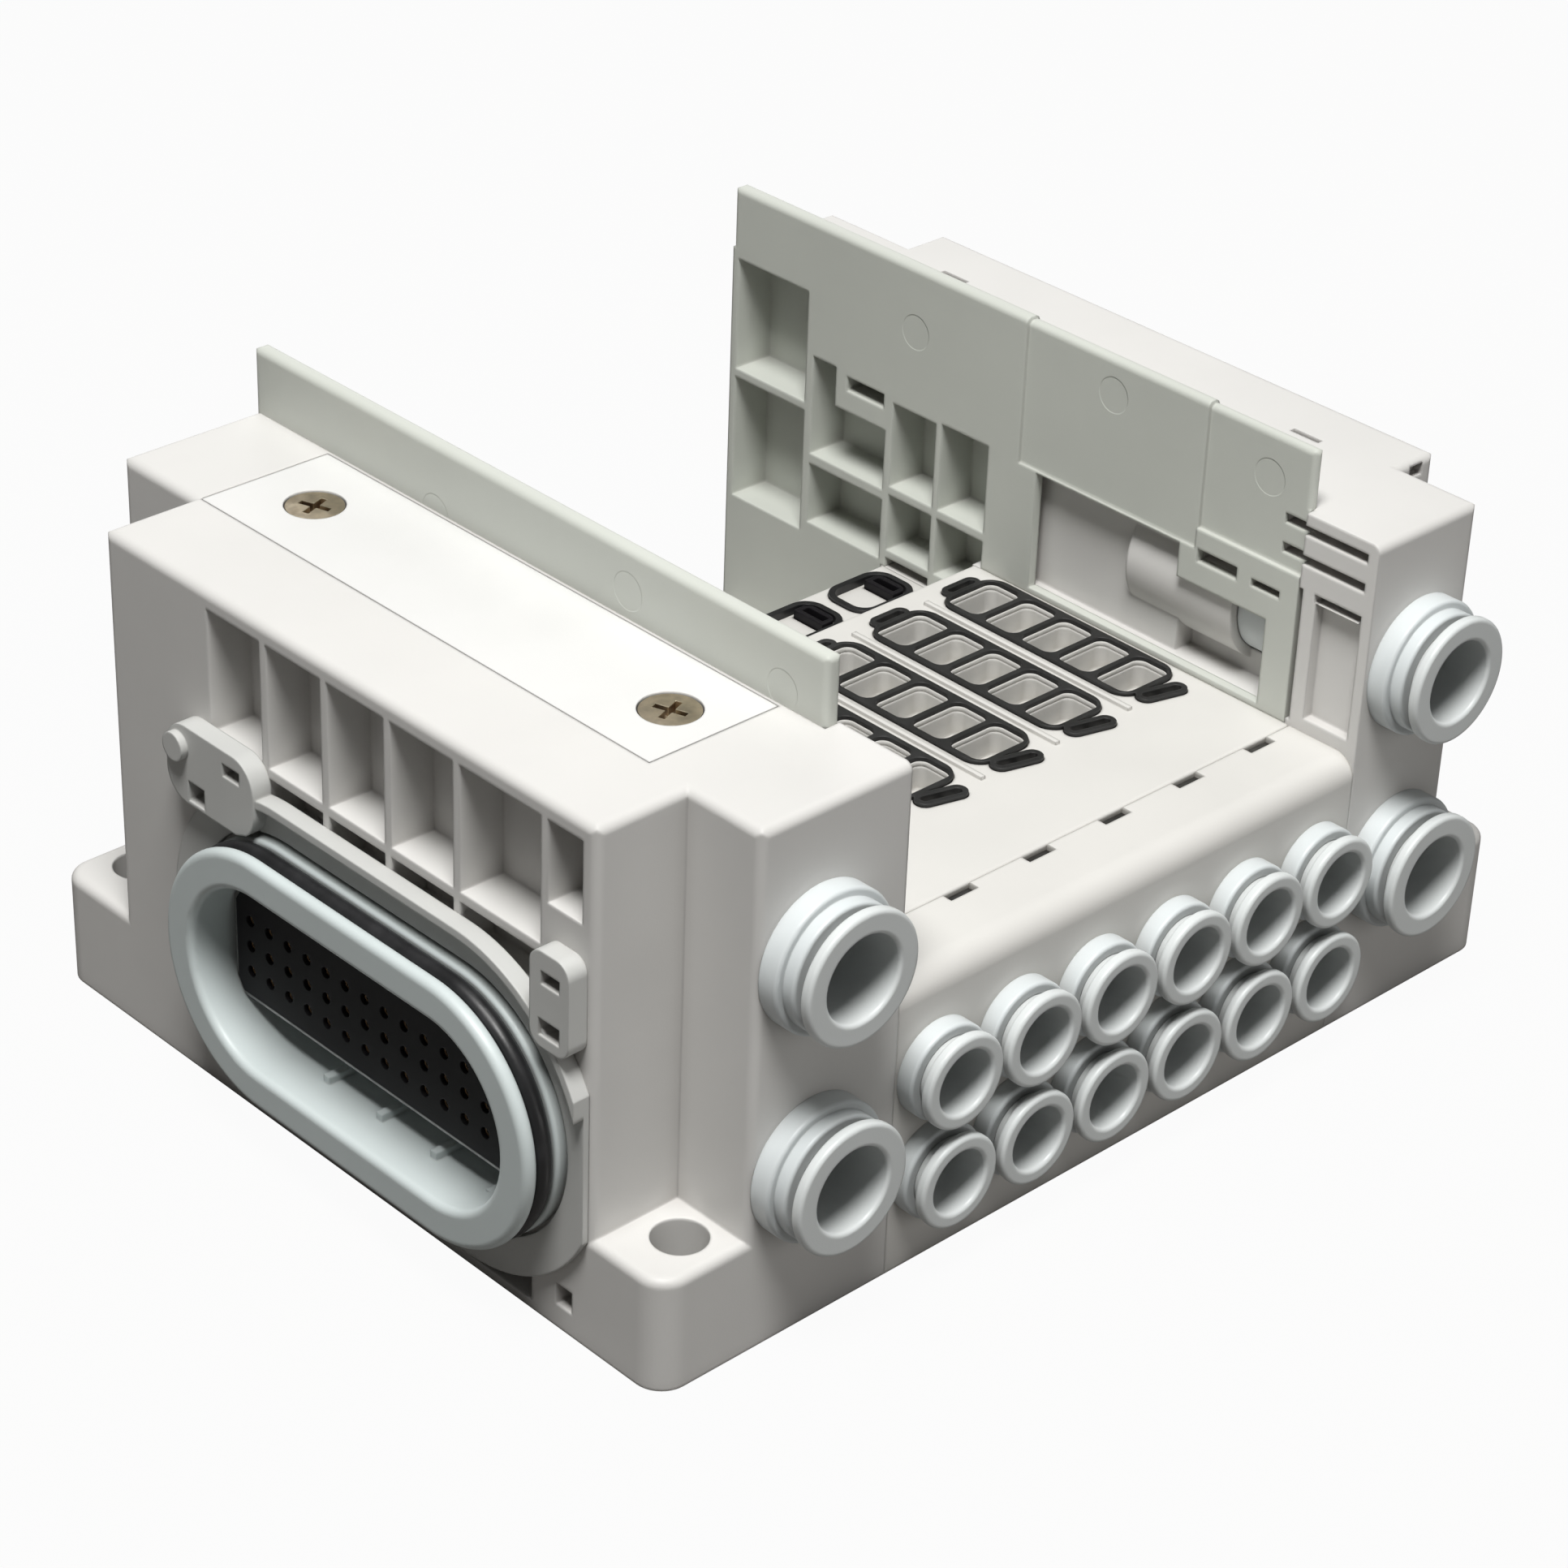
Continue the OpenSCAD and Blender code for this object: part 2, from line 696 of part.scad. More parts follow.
// Frame round the hood: flat ring, raised outer lip and two ears
frame_gap = 0.4;
frame_w = 3.9;
frame_t = 0.7;
lip_w = 0.9;
lip_out = 1.9;
ear_out = 2.2;
lip_z0 = 20.5;
far_ear_y = 55;
far_ear_z = 33;
far_ear_size = [13.4, 8.4];
far_ear_round = 3;
knob_place = [11.4, 6];
knob_r = 1.5;
knob_h = 0.8;
near_ear_y = 10.2;
near_ear_z = 32;
near_ear_size = [5.2, 10];
near_ear_round = 1.6;
ear_floor = 0.4;
// Recesses in the ears: place from the ear's low corner, width and height
far_ear_recesses = [[7.6, 0.4, 2.5, 2.2], [2, 5.6, 2.6, 1.4]];
near_ear_recesses = [[1.2, 6.6, 2.5, 1.4], [1.2, 1.2, 2.8, 1.8]];
module connector_retainer() {
    outer = frame_gap + frame_w;
    color("gainsboro") place() intersection() {
        box([-ear_out - 1, notch_d + 0.5, 0.6], [eps, overall_d - rear_notch_d - 0.5, block_h]);
        union() {
            difference() {
                union() {
                    hood_bar(-frame_t, 0, hood_w + 2 * outer, hood_h + 2 * outer);
                    // Raised lip over the top and down the near end
                    intersection() {
                        box([-lip_out, notch_d, lip_z0], [0, far_ear_y + root, block_h]);
                        difference() {
                            hood_bar(-lip_out, 0, hood_w + 2 * outer, hood_h + 2 * outer);
                            hood_bar(-lip_out - eps, eps, hood_w + 2 * (outer - lip_w), hood_h + 2 * (outer - lip_w));
                        }
                    }
                }
                hood_bar(-lip_out - eps, eps, hood_w + 2 * frame_gap, hood_h + 2 * frame_gap);
            }
            far_ear();
            near_ear();
        }
    }
}

// Ear at the far upper end of the frame, with its knob and two recesses
module far_ear() {
    ear(far_ear_y, far_ear_z, far_ear_size, far_ear_round, far_ear_recesses);
    rod_x(-ear_out - knob_h, -ear_out + eps, far_ear_y + knob_place[0], far_ear_z + knob_place[1], knob_r);
}

// Ear at the near upper end of the frame
module near_ear() {
    ear(near_ear_y, near_ear_z, near_ear_size, near_ear_round, near_ear_recesses);
}

// One ear clear of the hood, with recesses that leave a thin floor
module ear(y, z, size, r, recesses) {
    difference() {
        translate([-ear_out, y, z]) rotate([90, 0, 90]) linear_extrude(ear_out) round_rect(size[0], size[1], r);
        hood_bar(-ear_out - eps, eps, hood_w + 2 * frame_gap, hood_h + 2 * frame_gap);
        for (e = recesses)
            box([-ear_out - eps, y + e[0], z + e[1]], [-ear_floor, y + e[0] + e[2], z + e[1] + e[3]]);
    }
}

// Contacts stand in three rows, square to the hood's face
contact_rows = 3;
contact_columns = 14;
contact_row_pitch = 2.84;
contact_sink = 0.4;
contact_gap = 0.05;
contact_wall = 0.25;
contact_bore_l = 3;
contact_tail = 0.5;
function contact_places() = [
    for (r = [0 : contact_rows - 1], c = [0 : contact_columns - 1]) [
        hood_y + (c - (contact_columns - 1) / 2) * contact_pitch,
        hood_z + (r - (contact_rows - 1) / 2) * contact_row_pitch
    ]
];

// Black multi-way insulator
module socket_insert() {
    color("#181818") place() difference() {
        socket_bar(-insert_out, insert_back, 0);
        for (p = contact_places())
            rod_x(-insert_out - eps, insert_back + eps, p[0], p[1], contact_d / 2 + contact_gap);
    }
}

// Hollow-nosed contacts, one in each hole of the insulator
module socket_contacts() {
    color("goldenrod") place() for (p = contact_places()) difference() {
        rod_x(contact_sink - insert_out, insert_back + contact_tail, p[0], p[1], contact_d / 2);
        rod_x(-insert_out, contact_bore_l, p[0], p[1], contact_d / 2 - contact_wall);
    }
}

// Six-station base: seats, ledge, wells, galleries, fitting holes, tunnel and rear deck
seam_r = 0.3;
step_r = 0.5;
ridge_w = 0.6;
ridge_h = 0.35;
ridge_l = 29;
module manifold_base() {
    color("whitesmoke") place() difference() {
        union() {
            along_stations(left_l, right_x) base_profile();
            // Ridges between neighbouring seats
            for (k = [1 : stations - 1])
                translate([left_l + k * pitch + seat_shift - ridge_w / 2, far_pilot_y - ridge_l, base_h - eps])
                    cube([ridge_w, ridge_l, ridge_h + eps]);
        }
        for (k = [1 : stations]) translate([station_x(k), 0, 0]) station_cuts();
        for (g = gallery_list()) rod_x(left_l - eps, right_x + eps, g[0], g[1], g[2]);
        tie_holes(left_l - eps, right_x + eps, tie_r + slip);
        box([left_l - eps, tunnel_y0, tunnel_z0], [right_x + eps, tunnel_y0 + tunnel_w, tunnel_z0 + tunnel_h]);
    }
}

// Extrudes a side view, given as depth and height, along the stations
module along_stations(x0, x1) {
    translate([x0, 0, 0]) rotate([90, 0, 90]) linear_extrude(x1 - x0) children();
}

// Side view of the base: seat, ledge and deck, each with soft edges
module base_profile() {
    difference() {
        union() {
            translate([panel_t, 0]) square([seat_d - panel_t, base_h]);
            translate([panel_t, 0]) square([ledge_d - panel_t, ledge_h]);
            translate([panel_t, 0]) square([overall_d - panel_t, deck_h]);
        }
        corner_cut([panel_t, base_h], [1, -1], seam_r);
        corner_cut([seat_d, base_h], [-1, -1], step_r);
        corner_cut([ledge_d, ledge_h], [-1, -1], step_r);
        corner_cut([overall_d, deck_h], [-1, -1], edge_round);
    }
}

function station_x(k) = left_l + pitch * (k - 0.5);

// All cuts of one station, about its own centre line
well_edge = 0.2;
pilot_depth = 3;
pilot_r = 0.5;
deck_rib = 0.9;
deck_edge = 2.6;
deck_pocket = 3.2;
deck_round = 1;
cut_over = 1;
module station_cuts() {
    // Groove for the gasket and the pilot eyes, and a well under each cell
    translate([seat_shift, 0, base_h - gasket_sink]) linear_extrude(gasket_sink + cut_over) gasket_outline(slip);
    for (i = [0 : cell_count - 1]) {
        translate([seat_shift, cell_y(i), base_h - gasket_sink - well_depth])
            linear_extrude(well_depth + eps) cell_plan(well_edge);
        translate([0, cell_y(i), passage_z(i)]) cylinder(h = base_h - well_depth - passage_z(i), r = port_r);
    }
    rod_y(small_body_l - eps, port_a_y, 0, upper_z, port_r + way_gap);
    rod_y(small_body_l - eps, port_b_y, 0, lower_z, port_r + way_gap);
    for (z = [lower_z, upper_z])
        rod_y(panel_t - eps, small_body_l + slip, 0, z, small_body_d / 2 + slip);
    // Pilot passages
    for (y = [pilot_y, far_pilot_y])
        translate([seat_shift, y, base_h - pilot_depth]) cylinder(h = pilot_depth, r = pilot_r);
    // Socket opening down to the tunnel, and the rubber frame's recess round it
    box([socket_x0 - assembly_gap, socket_y0 - assembly_gap, tunnel_z0 + tunnel_h - eps],
        [socket_x0 + socket_w + assembly_gap, socket_y0 + socket_l + assembly_gap, ledge_h + cut_over]);
    translate([0, 0, ledge_h - gasket_sink]) linear_extrude(gasket_sink + cut_over) frame_plan(-slip);
    // Cored pocket in the rear deck
    translate([-pitch / 2 + deck_rib, ledge_d + deck_edge, deck_h - deck_pocket]) linear_extrude(deck_pocket + cut_over)
        round_rect(pitch - 2 * deck_rib, overall_d - ledge_d - 2 * deck_edge, deck_round);
}

// Plan of one cell of a gasket about its centre, made smaller all round by an edge
module cell_plan(edge) {
    w = gasket_w - 2 * gasket_bar - 2 * edge;
    l = cell_pitch - gasket_bar - 2 * edge;
    translate([-w / 2, -l / 2]) round_rect(w, l, cell_corner - edge);
}

// Plan of the rubber frame on the ledge, made smaller all round by an edge
module frame_plan(edge) {
    translate([frame_x0 + edge, frame_y0 + edge])
        round_rect(frame_l - 2 * edge, frame_d - 2 * edge, frame_corner - edge);
}

// How deep the round passage under a cell reaches
function passage_z(i) = [gallery_z, upper_z, supply_z, lower_z, gallery_z][i];

// Outer outline of a gasket with its pilot eyes, grown by gap
module gasket_outline(gap) {
    translate([-gasket_w / 2 - gap, gasket_y - gap])
        round_rect(gasket_w + 2 * gap, gasket_l + 2 * gap, gasket_corner);
    pilot_eyes(gap);
}

// Five-cell rubber gasket with its pilot eyes
module valve_gasket(k) {
    color("#202020") place() translate([station_x(k) + seat_shift, 0, base_h - gasket_sink])
        linear_extrude(gasket_sink + gasket_proud) difference() {
            gasket_outline(0);
            for (i = [0 : cell_count - 1]) translate([0, cell_y(i)]) cell_plan(0);
            pilot_eyes(-gasket_bar);
        }
}

// Pilot eyes, the near one set askew, grown by gap
module pilot_eyes(gap) {
    translate([pilot_x, pilot_y]) rotate(pilot_turn) oval(pilot_l + 2 * gap, pilot_w + 2 * gap);
    translate([0, far_pilot_y]) oval(far_pilot_l + 2 * gap, far_pilot_w + 2 * gap);
}

// Plan of a contact socket, rounded at its right to follow the rubber frame
module socket_plan() {
    intersection() {
        frame_plan(frame_line + socket_gap);
        translate([socket_x0, socket_y0]) square([socket_w, socket_l]);
    }
}

// Black contact socket behind each seat, standing on the wiring board
module valve_socket(k) {
    color("#181818") place() translate([station_x(k), 0, 0]) difference() {
        translate([0, 0, tunnel_z0 + board_t]) linear_extrude(ledge_h + gasket_proud - tunnel_z0 - board_t)
            socket_plan();
        box([socket_x0 + socket_wall, socket_y0 + socket_wall, ledge_h - socket_depth],
            [socket_x0 + socket_w - socket_wall, socket_y0 + socket_l - socket_wall, ledge_h + cut_over]);
    }
}

// Rubber frames round the sockets
module rear_seals() {
    color("#202020") place() for (k = [1 : stations])
        translate([station_x(k), 0, ledge_h - gasket_sink])
            linear_extrude(gasket_sink + gasket_proud) difference() {
                frame_plan(0);
                frame_plan(frame_line);
            }
}

// Strip in front of the base that carries the station fittings
module port_panel() {
    color("whitesmoke") place() difference() {
        along_stations(left_l, right_x) difference() {
            square([panel_t, base_h]);
            corner_cut([0, base_h], [1, -1], panel_round);
            corner_cut([panel_t, base_h], [-1, -1], seam_r);
        }
        for (k = [1 : stations], z = [lower_z, upper_z])
            rod_y(-eps, panel_t + eps, station_x(k), z, small_body_d / 2 + slip);
        // Room for the clips behind the panel, and their notches at the top
        box([left_l + 2 * assembly_gap, clip_y - slip, lower_z - small_body_d / 2 - room_edge],
            [right_x - 2 * assembly_gap, panel_t + eps, upper_z + small_body_d / 2 + room_edge]);
        for (k = [1 : stations])
            box([station_x(k) - clip_head / 2 - head_gap, clip_y - slip - head_gap, upper_z],
                [station_x(k) + clip_head / 2 + head_gap, panel_t + eps, base_h + eps]);
    }
}

// Forked clips that lock the upper and lower fitting of each station
module port_clips() {
    half_w = pitch / 2 - 3 * assembly_gap;
    groove_r = small_body_d / 2 - clip_groove_depth;
    top = upper_z + small_body_d / 2 + clip_top;
    color("dimgray") place() for (k = [1 : stations]) translate([station_x(k), clip_y, 0]) difference() {
        union() {
            box([-half_w, 0, lower_z - clip_low], [half_w, clip_t, top]);
            box([-clip_head / 2, 0, top - eps], [clip_head / 2, clip_t, base_h - clip_drop]);
        }
        rod_y(-eps, clip_t + eps, 0, upper_z, groove_r + slip);
        box([-groove_r - slip, -eps, lower_z - clip_low - eps], [groove_r + slip, clip_t + eps, upper_z]);
    }
}

// Stations of a fitting along its axis that follow from its ring
function chamber_end(front, stem_l) = grip_y(front, stem_l) + collet_l + seal_gap + seal_l;
collar_edge = 0.35;
ring_edge = 0.4;

// Body of a push-in fitting with its axis on +Y and the port face at zero
module fitting_body(tube_d, body_d, body_l, collar_d, collar_t, step_d, step_t, wall, stem_l, seat_l, front) {
    bore_r = tube_d / 2 + ring_bore_gap + wall + ring_gap;
    seat_y0 = chamber_end(front, stem_l);
    turned_y() difference() {
        union() {
            translate([0, -collar_t]) soft_square(collar_d / 2, collar_t, collar_edge, [false, true, false, false]);
            if (step_t > 0) translate([0, -collar_t - step_t])
                soft_square(step_d / 2, step_t + eps, collar_edge, [false, true, false, false]);
            translate([0, -eps]) square([body_d / 2, body_l + eps]);
        }
        translate([-eps, -collar_t - step_t - eps]) square([bore_r + eps, collar_t + step_t + seat_y0 + eps]);
        translate([-eps, seat_y0 - eps]) square([tube_d / 2 + tube_gap + eps, seat_l + eps]);
        translate([-eps, seat_y0]) square([tube_d / 2 - tube_stop + eps, body_l - seat_y0 + eps]);
        // Groove for the clip, then the groove for the sealing ring
        translate([body_d / 2 - clip_groove_depth, clip_y - slip]) square([1, clip_t + 2 * slip]);
        translate([body_d / 2 - body_seal_t, body_seal_y]) square([1, body_seal_w]);
    }
}

// Release ring: soft flange that is pushed, and stem that opens the grip
module release_ring(tube_d, ring_d, wall, stem_l, front) {
    bore_r = tube_d / 2 + ring_bore_gap;
    color("lightsteelblue") turned_y() difference() {
        union() {
            translate([0, -front]) soft_square(ring_d / 2, ring_flange_t, ring_edge, [false, true, true, false]);
            translate([0, ring_flange_t - front - eps]) square([bore_r + wall, stem_l + eps]);
        }
        translate([-eps, -front - eps]) square([bore_r + eps, ring_flange_t + stem_l + 2 * eps]);
        corner_cut([bore_r, -front], [1, 1], ring_edge);
    }
}

module small_fitting() {
    color("lightsteelblue") fitting_body(small_tube_d, small_body_d, small_body_l,
        small_collar_d, small_collar_t, 0, 0, ring_wall, small_stem_l, small_seat_l, small_ring_front);
}

module large_fitting() {
    color("lightsteelblue") fitting_body(large_tube_d, large_body_d, large_body_l,
        large_collar_d, large_collar_t, large_step_d, large_step_t,
        large_ring_wall, large_stem_l, large_seat_l, large_ring_front);
}

module small_ring() {
    release_ring(small_tube_d, small_ring_d, ring_wall, small_stem_l, small_ring_front);
}

module large_ring() {
    release_ring(large_tube_d, large_ring_d, large_ring_wall, large_stem_l, large_ring_front);
}

// Places of the large ports
supply_left = [left_port_x, 0, supply_z];
exhaust_left = [left_port_x, 0, exhaust_z];
supply_right = [right_port_x, 0, supply_z];
exhaust_right = [right_port_x, 0, exhaust_z];
large_places = [supply_left, exhaust_left, supply_right, exhaust_right];

// Both fittings of one station
module station_fittings(k) {
    place() for (z = [lower_z, upper_z]) translate([station_x(k), 0, z]) small_fitting();
}

module upper_ring(k) {
    place() translate([station_x(k), 0, upper_z]) small_ring();
}

module lower_ring(k) {
    place() translate([station_x(k), 0, lower_z]) small_ring();
}

// Draws its child in each small fitting, then its second child in each large one
module in_every_fitting() {
    for (k = [1 : stations], z = [lower_z, upper_z])
        translate([station_x(k), 0, z]) children(0);
    for (p = large_places) translate(p) children(1);
}

// Where the grip and the seal lie behind the stem of a ring
function grip_y(front, stem_l) = -front + ring_flange_t + stem_l + ring_travel + collet_gap;

// Slotted steel grips that hold the tubes
module grip(tube_d, wall, y0) {
    r0 = tube_d / 2 + ring_bore_gap;
    difference() {
        rod_y(y0, y0 + collet_l, 0, 0, r0 + wall);
        rod_y(y0 - eps, y0 + collet_l + eps, 0, 0, r0);
        for (a = [0, 60, 120]) rotate([0, a, 0])
            translate([-r0 - wall - eps, y0 + grip_rim, -grip_slot / 2])
                cube([2 * (r0 + wall + eps), collet_l, grip_slot]);
    }
}

module grip_collets() {
    color("silver") place() in_every_fitting() {
        grip(small_tube_d, ring_wall, grip_y(small_ring_front, small_stem_l));
        grip(large_tube_d, large_ring_wall, grip_y(large_ring_front, large_stem_l));
    }
}

// Rubber sleeves that seal the tubes
module sleeve(tube_d, wall, y0) {
    r0 = tube_d / 2 + tube_gap;
    turned_y() translate([r0, y0]) square([ring_bore_gap + wall - tube_gap, seal_l]);
}

module tube_seals() {
    color("#202020") place() in_every_fitting() {
        sleeve(small_tube_d, ring_wall, grip_y(small_ring_front, small_stem_l) + collet_l + seal_gap);
        sleeve(large_tube_d, large_ring_wall, grip_y(large_ring_front, large_stem_l) + collet_l + seal_gap);
    }
}

// Sealing rings round the fittings' bodies
module body_seal(body_d) {
    section_r = (body_seal_t + slip) / 2 - seal_ease;
    translate([0, body_seal_y + body_seal_w / 2, 0]) rotate([-90, 0, 0]) rotate_extrude()
        translate([body_d / 2 - body_seal_t + section_r + eps, 0]) circle(r = section_r, $fn = 24);
}

module fitting_seals() {
    color("#202020") place() in_every_fitting() {
        body_seal(small_body_d);
        body_seal(large_body_d);
    }
}

// Sealing rings round the galleries at both ends of the base
module gallery_seals() {
    color("#202020") place() for (g = gallery_list(), x = [left_l - face_seal_t / 2, right_x + face_seal_t / 2])
        ring_x(x, g[0], g[1], g[2] + (face_groove_in + face_seal_t + face_groove_out) / 2, face_seal_t / 2 - seal_ease);
}

// Board that links the connector to the valve sockets
module wiring_board() {
    color("darkgreen") place()
        box([insert_back + way_l, tunnel_y0 + board_gap, tunnel_z0],
            [right_x - board_gap, tunnel_y0 + tunnel_w - board_gap, tunnel_z0 + board_t]);
}

// Long cap screws from the supply end block into the connector end block
module tie_screws() {
    color("silver") place() for (p = tie_places) difference() {
        union() {
            rod_x(left_l - tie_reach, tie_seat_x, p[0], p[1], tie_r - seal_ease);
            rod_x(tie_seat_x, tie_seat_x + tie_head_l, p[0], p[1], tie_head_r);
        }
        translate([tie_seat_x + tie_head_l - tie_key_depth, p[0], p[1]]) rotate([0, 90, 0])
            cylinder(h = tie_key_depth + eps, r = tie_key_r, $fn = 6);
    }
}

// Right end block: housing with a step, two feet, tube boss and shallow recess
tube_boss_r = 7;
tube_boss_end = 32.3;
recess_depth = 2;
recess_over = 1;
hollow_depth = 4.5;
module supply_end_block() {
    color("gainsboro") place() difference() {
        union() {
            difference() {
                union() {
                    soft_box([right_x, 0, 0], [foot_x, overall_d, block_h], edge_round, [false, true, true, true]);
                    soft_box([foot_x - root, step_y0, 0], [step_x, step_y1, block_h],
                        edge_round, [false, true, true, true]);
                    right_foot(0);
                    right_foot(1);
                }
                plate_rebate();
                // Shallow recess behind the window, deeper under the tube boss
                box([right_x - eps, window_y0 - slip, window_z0 - slip],
                    [right_x + recess_depth, window_y1 + recess_over, window_z1 + slip]);
                box([right_x - eps, hollow_y0, window_z0 - slip],
                    [right_x + hollow_depth, window_y0 + recess_over, hollow_z1 + slip]);
            }
            rod_y(large_body_l, tube_boss_end, right_port_x, exhaust_z, tube_boss_r);
        }
        for (z = [supply_z, exhaust_z])
            fitting_hole(right_port_x, z, large_body_d, large_body_l);
        end_passages(right_port_x, right_x);
        face_grooves(right_x - eps, face_seal_t);
        tie_holes(right_x - eps, tie_seat_x + eps, tie_r + slip);
        tie_holes(tie_seat_x, step_x + eps, tie_head_r + tie_head_gap);
        for (y = [foot_hole_y, overall_d - foot_hole_y])
            translate([overall_l - foot_hole_x, y, -eps]) cylinder(h = right_foot_h + 2 * eps, d = foot_hole_d);
        near_face_slots();
        top_slots();
    }
}

// Two narrow slots in the top of the supply block and a small one in the near face of its step
top_slot_x = right_x + 12.7;
top_slot_y = [18.7, 68.6];
top_slot = [0.7, 3.7, 1.6];
step_slot_x = foot_x + 1.6;
step_slot = [2, 1.2, 1.3];
step_slot_drop = 0.6;
module top_slots() {
    for (y = top_slot_y)
        box([top_slot_x, y, block_h - top_slot[2]], [top_slot_x + top_slot[0], y + top_slot[1], block_h + eps]);
    box([step_slot_x, step_y0 - eps, block_h - step_slot_drop - step_slot[2]],
        [step_slot_x + step_slot[0], step_y0 + step_slot[1], block_h - step_slot_drop]);
}

// Rebate for the ribbed plate
module plate_rebate() {
    box([right_x - eps, plate_y, base_h], [right_x + skin_t, overall_d + eps, block_h + eps]);
    box([right_x - eps, rib_y0 - slip, base_h], [right_x + rib_depth, overall_d + eps, block_h - rib_drop]);
    box([right_x - eps, seat_d, ledge_h], [right_x + rib_depth, overall_d + eps, base_h + eps]);
    box([right_x - eps, ledge_d, deck_h], [right_x + rib_depth, overall_d + eps, ledge_h + eps]);
}

// Foot of the supply end block: 0 is the near one, 1 the far one
module right_foot(far) {
    translate([overall_l, far ? overall_d - notch_d - root : notch_d + root, 0]) mirror([1, 0, 0])
        mirror([0, far ? 0 : 1, 0]) round_foot(notch_l + root, notch_d + root, right_foot_h);
}

// Slots and shallow panel in the near part of the face, cut through block and plate alike
face_slot_depth = 3;
slot_y0 = 1.3;
slot_tops = [54.2, 51];
slot_h = 1.1;
slot_l = 11;
short_slot_z = 46.5;
short_slot_h = 0.9;
short_slot_l = 5.9;
panel_recess = 1.2;
panel_recess_l = 5.7;
panel_recess_z = 1.5;
face_groove_w = 0.5;
face_groove_z = 0.6;
// Distance from the port face, length, height above the mounting plane and own height
small_slots = [[17.2, 5.3, 44.8, 1.5], [11.6, 3.7, 45, 0.9]];
module near_face_slots() {
    for (z = slot_tops)
        box([right_x - eps, slot_y0, z - slot_h], [right_x + face_slot_depth, slot_y0 + slot_l, z]);
    box([right_x - eps, slot_y0, short_slot_z],
        [right_x + face_slot_depth, slot_y0 + short_slot_l, short_slot_z + short_slot_h]);
    box([right_x - eps, slot_y0, base_h + panel_recess_z],
        [right_x + panel_recess, slot_y0 + panel_recess_l, short_slot_z - eps]);
    box([right_x - eps, plate_y - face_groove_w, base_h + face_groove_z],
        [right_x + face_slot_depth, plate_y, short_slot_z + short_slot_h]);
    for (p = small_slots)
        box([right_x - eps, p[0], p[2]], [right_x + face_slot_depth, p[0] + p[1], p[2] + p[3]]);
}

// Ribbed region of the tall right plate starts here
rib_y0 = 50.8;
rib_drop = 1;
rib_skin = 0.9;
// Columns of pockets, counted from the far end: near side, width, then rows of bottom and top
far_rim = 0.9;
column_ribs = [1.1, 1, 0.8];
column_w = [11.1, 11.4, 6.5, 6.9];
column_a = [overall_d - far_rim - column_w[0], column_w[0]];
column_b = [column_a[0] - column_ribs[0] - column_w[1], column_w[1]];
column_c = [column_b[0] - column_ribs[1] - column_w[2], column_w[2]];
column_d = [column_c[0] - column_ribs[2] - column_w[3], column_w[3]];
pockets = [
    [column_a, 41.2, 54.3],
    [column_a, 25.6, 40.2],
    [[column_b[0] + 7.8, 3.6], 42.4, 47.1],
    [column_b, 35.4, 42.5],
    [column_b, 27, 34.2],
    [column_c, 36.2, 46.1],
    [column_c, 28.5, 35.2],
    [column_c, 24, 27.6],
    [column_d, 36.2, 46.4],
    [column_d, 28.5, 35.2],
    [[column_b[0] + 0.4, 5.7], 44.9, 46.6]
];

// Window on the tube boss, and the lower opening beside it
window_y0 = 24.9;
window_y1 = 44.9;
window_sill = 0.6;
window_z0 = base_h + window_sill;
window_z1 = 46;
hollow_y0 = 13;
hollow_z1 = 42.2;

// Places where the face steps back, and how far each time
face_step = 0.3;
wall_root = 1;
far_step_y = 47.5;
near_step_y = 22.9;
far_step_z = 46.2;
near_step_z = 48.4;

// Tall right plate: skin with ribs and cored pockets, window and slots
module ribbed_side_plate() {
    x0 = right_x;
    color("silver") place() difference() {
        union() {
            box([x0, plate_y + slip, base_h], [x0 + skin_t, overall_d, block_h]);
            box([x0, seat_d + slip, ledge_h], [x0 + skin_t, overall_d, base_h + eps]);
            box([x0, ledge_d + slip, deck_h], [x0 + skin_t, overall_d, ledge_h + eps]);
            box([x0, rib_y0, base_h], [x0 + rib_depth - slip, overall_d, block_h - rib_drop]);
            box([x0, seat_d + slip, ledge_h], [x0 + rib_depth - slip, overall_d, base_h + eps]);
            box([x0, ledge_d + slip, deck_h], [x0 + rib_depth - slip, overall_d, ledge_h + eps]);
            // Free upper wall in three lengths, each set back a little from the last
            free_wall(far_step_y, overall_d, 0, true);
            free_wall(near_step_y, far_step_y + eps, face_step, false);
            free_wall(plate_y + slip, near_step_y + eps, 2 * face_step, false);
            box([x0 + 2 * face_step + eps, plate_y + slip + plate_round, block_h - wall_root],
                [x0 + skin_t, overall_d - plate_round, block_h + wall_root]);
        }
        for (p = pockets)
            box([x0 - eps, p[0][0], p[1]], [x0 + rib_depth - rib_skin, p[0][0] + p[0][1], p[2]]);
        // The middle and near lengths of the face step back in the same way
        box([x0 - eps, near_step_y, far_step_z], [x0 + face_step, far_step_y, block_h + eps]);
        box([x0 - eps, plate_y, near_step_z], [x0 + 2 * face_step, near_step_y + eps, block_h + eps]);
        box([x0 - eps, window_y0, window_z0], [x0 + skin_t + eps, window_y1, window_z1]);
        box([x0 - eps, hollow_y0, window_z0], [x0 + skin_t + eps, window_y0 + eps, hollow_z1]);
        near_face_slots();
        // Clear of the tube boss, the sealing rings and the passages beside them
        rod_y(hollow_y0, window_y0 + eps, right_port_x, exhaust_z, tube_boss_r + slip);
        face_grooves(x0 - eps, face_seal_t);
        end_passages(right_port_x, x0);
    }
}

// One length of the free upper wall
module free_wall(y0, y1, back, far_end) {
    soft_box([right_x + back, y0, block_h], [right_x + plate_t, y1, plate_h - back],
        plate_round, [true, true, !far_end && back > face_step, far_end]);
}

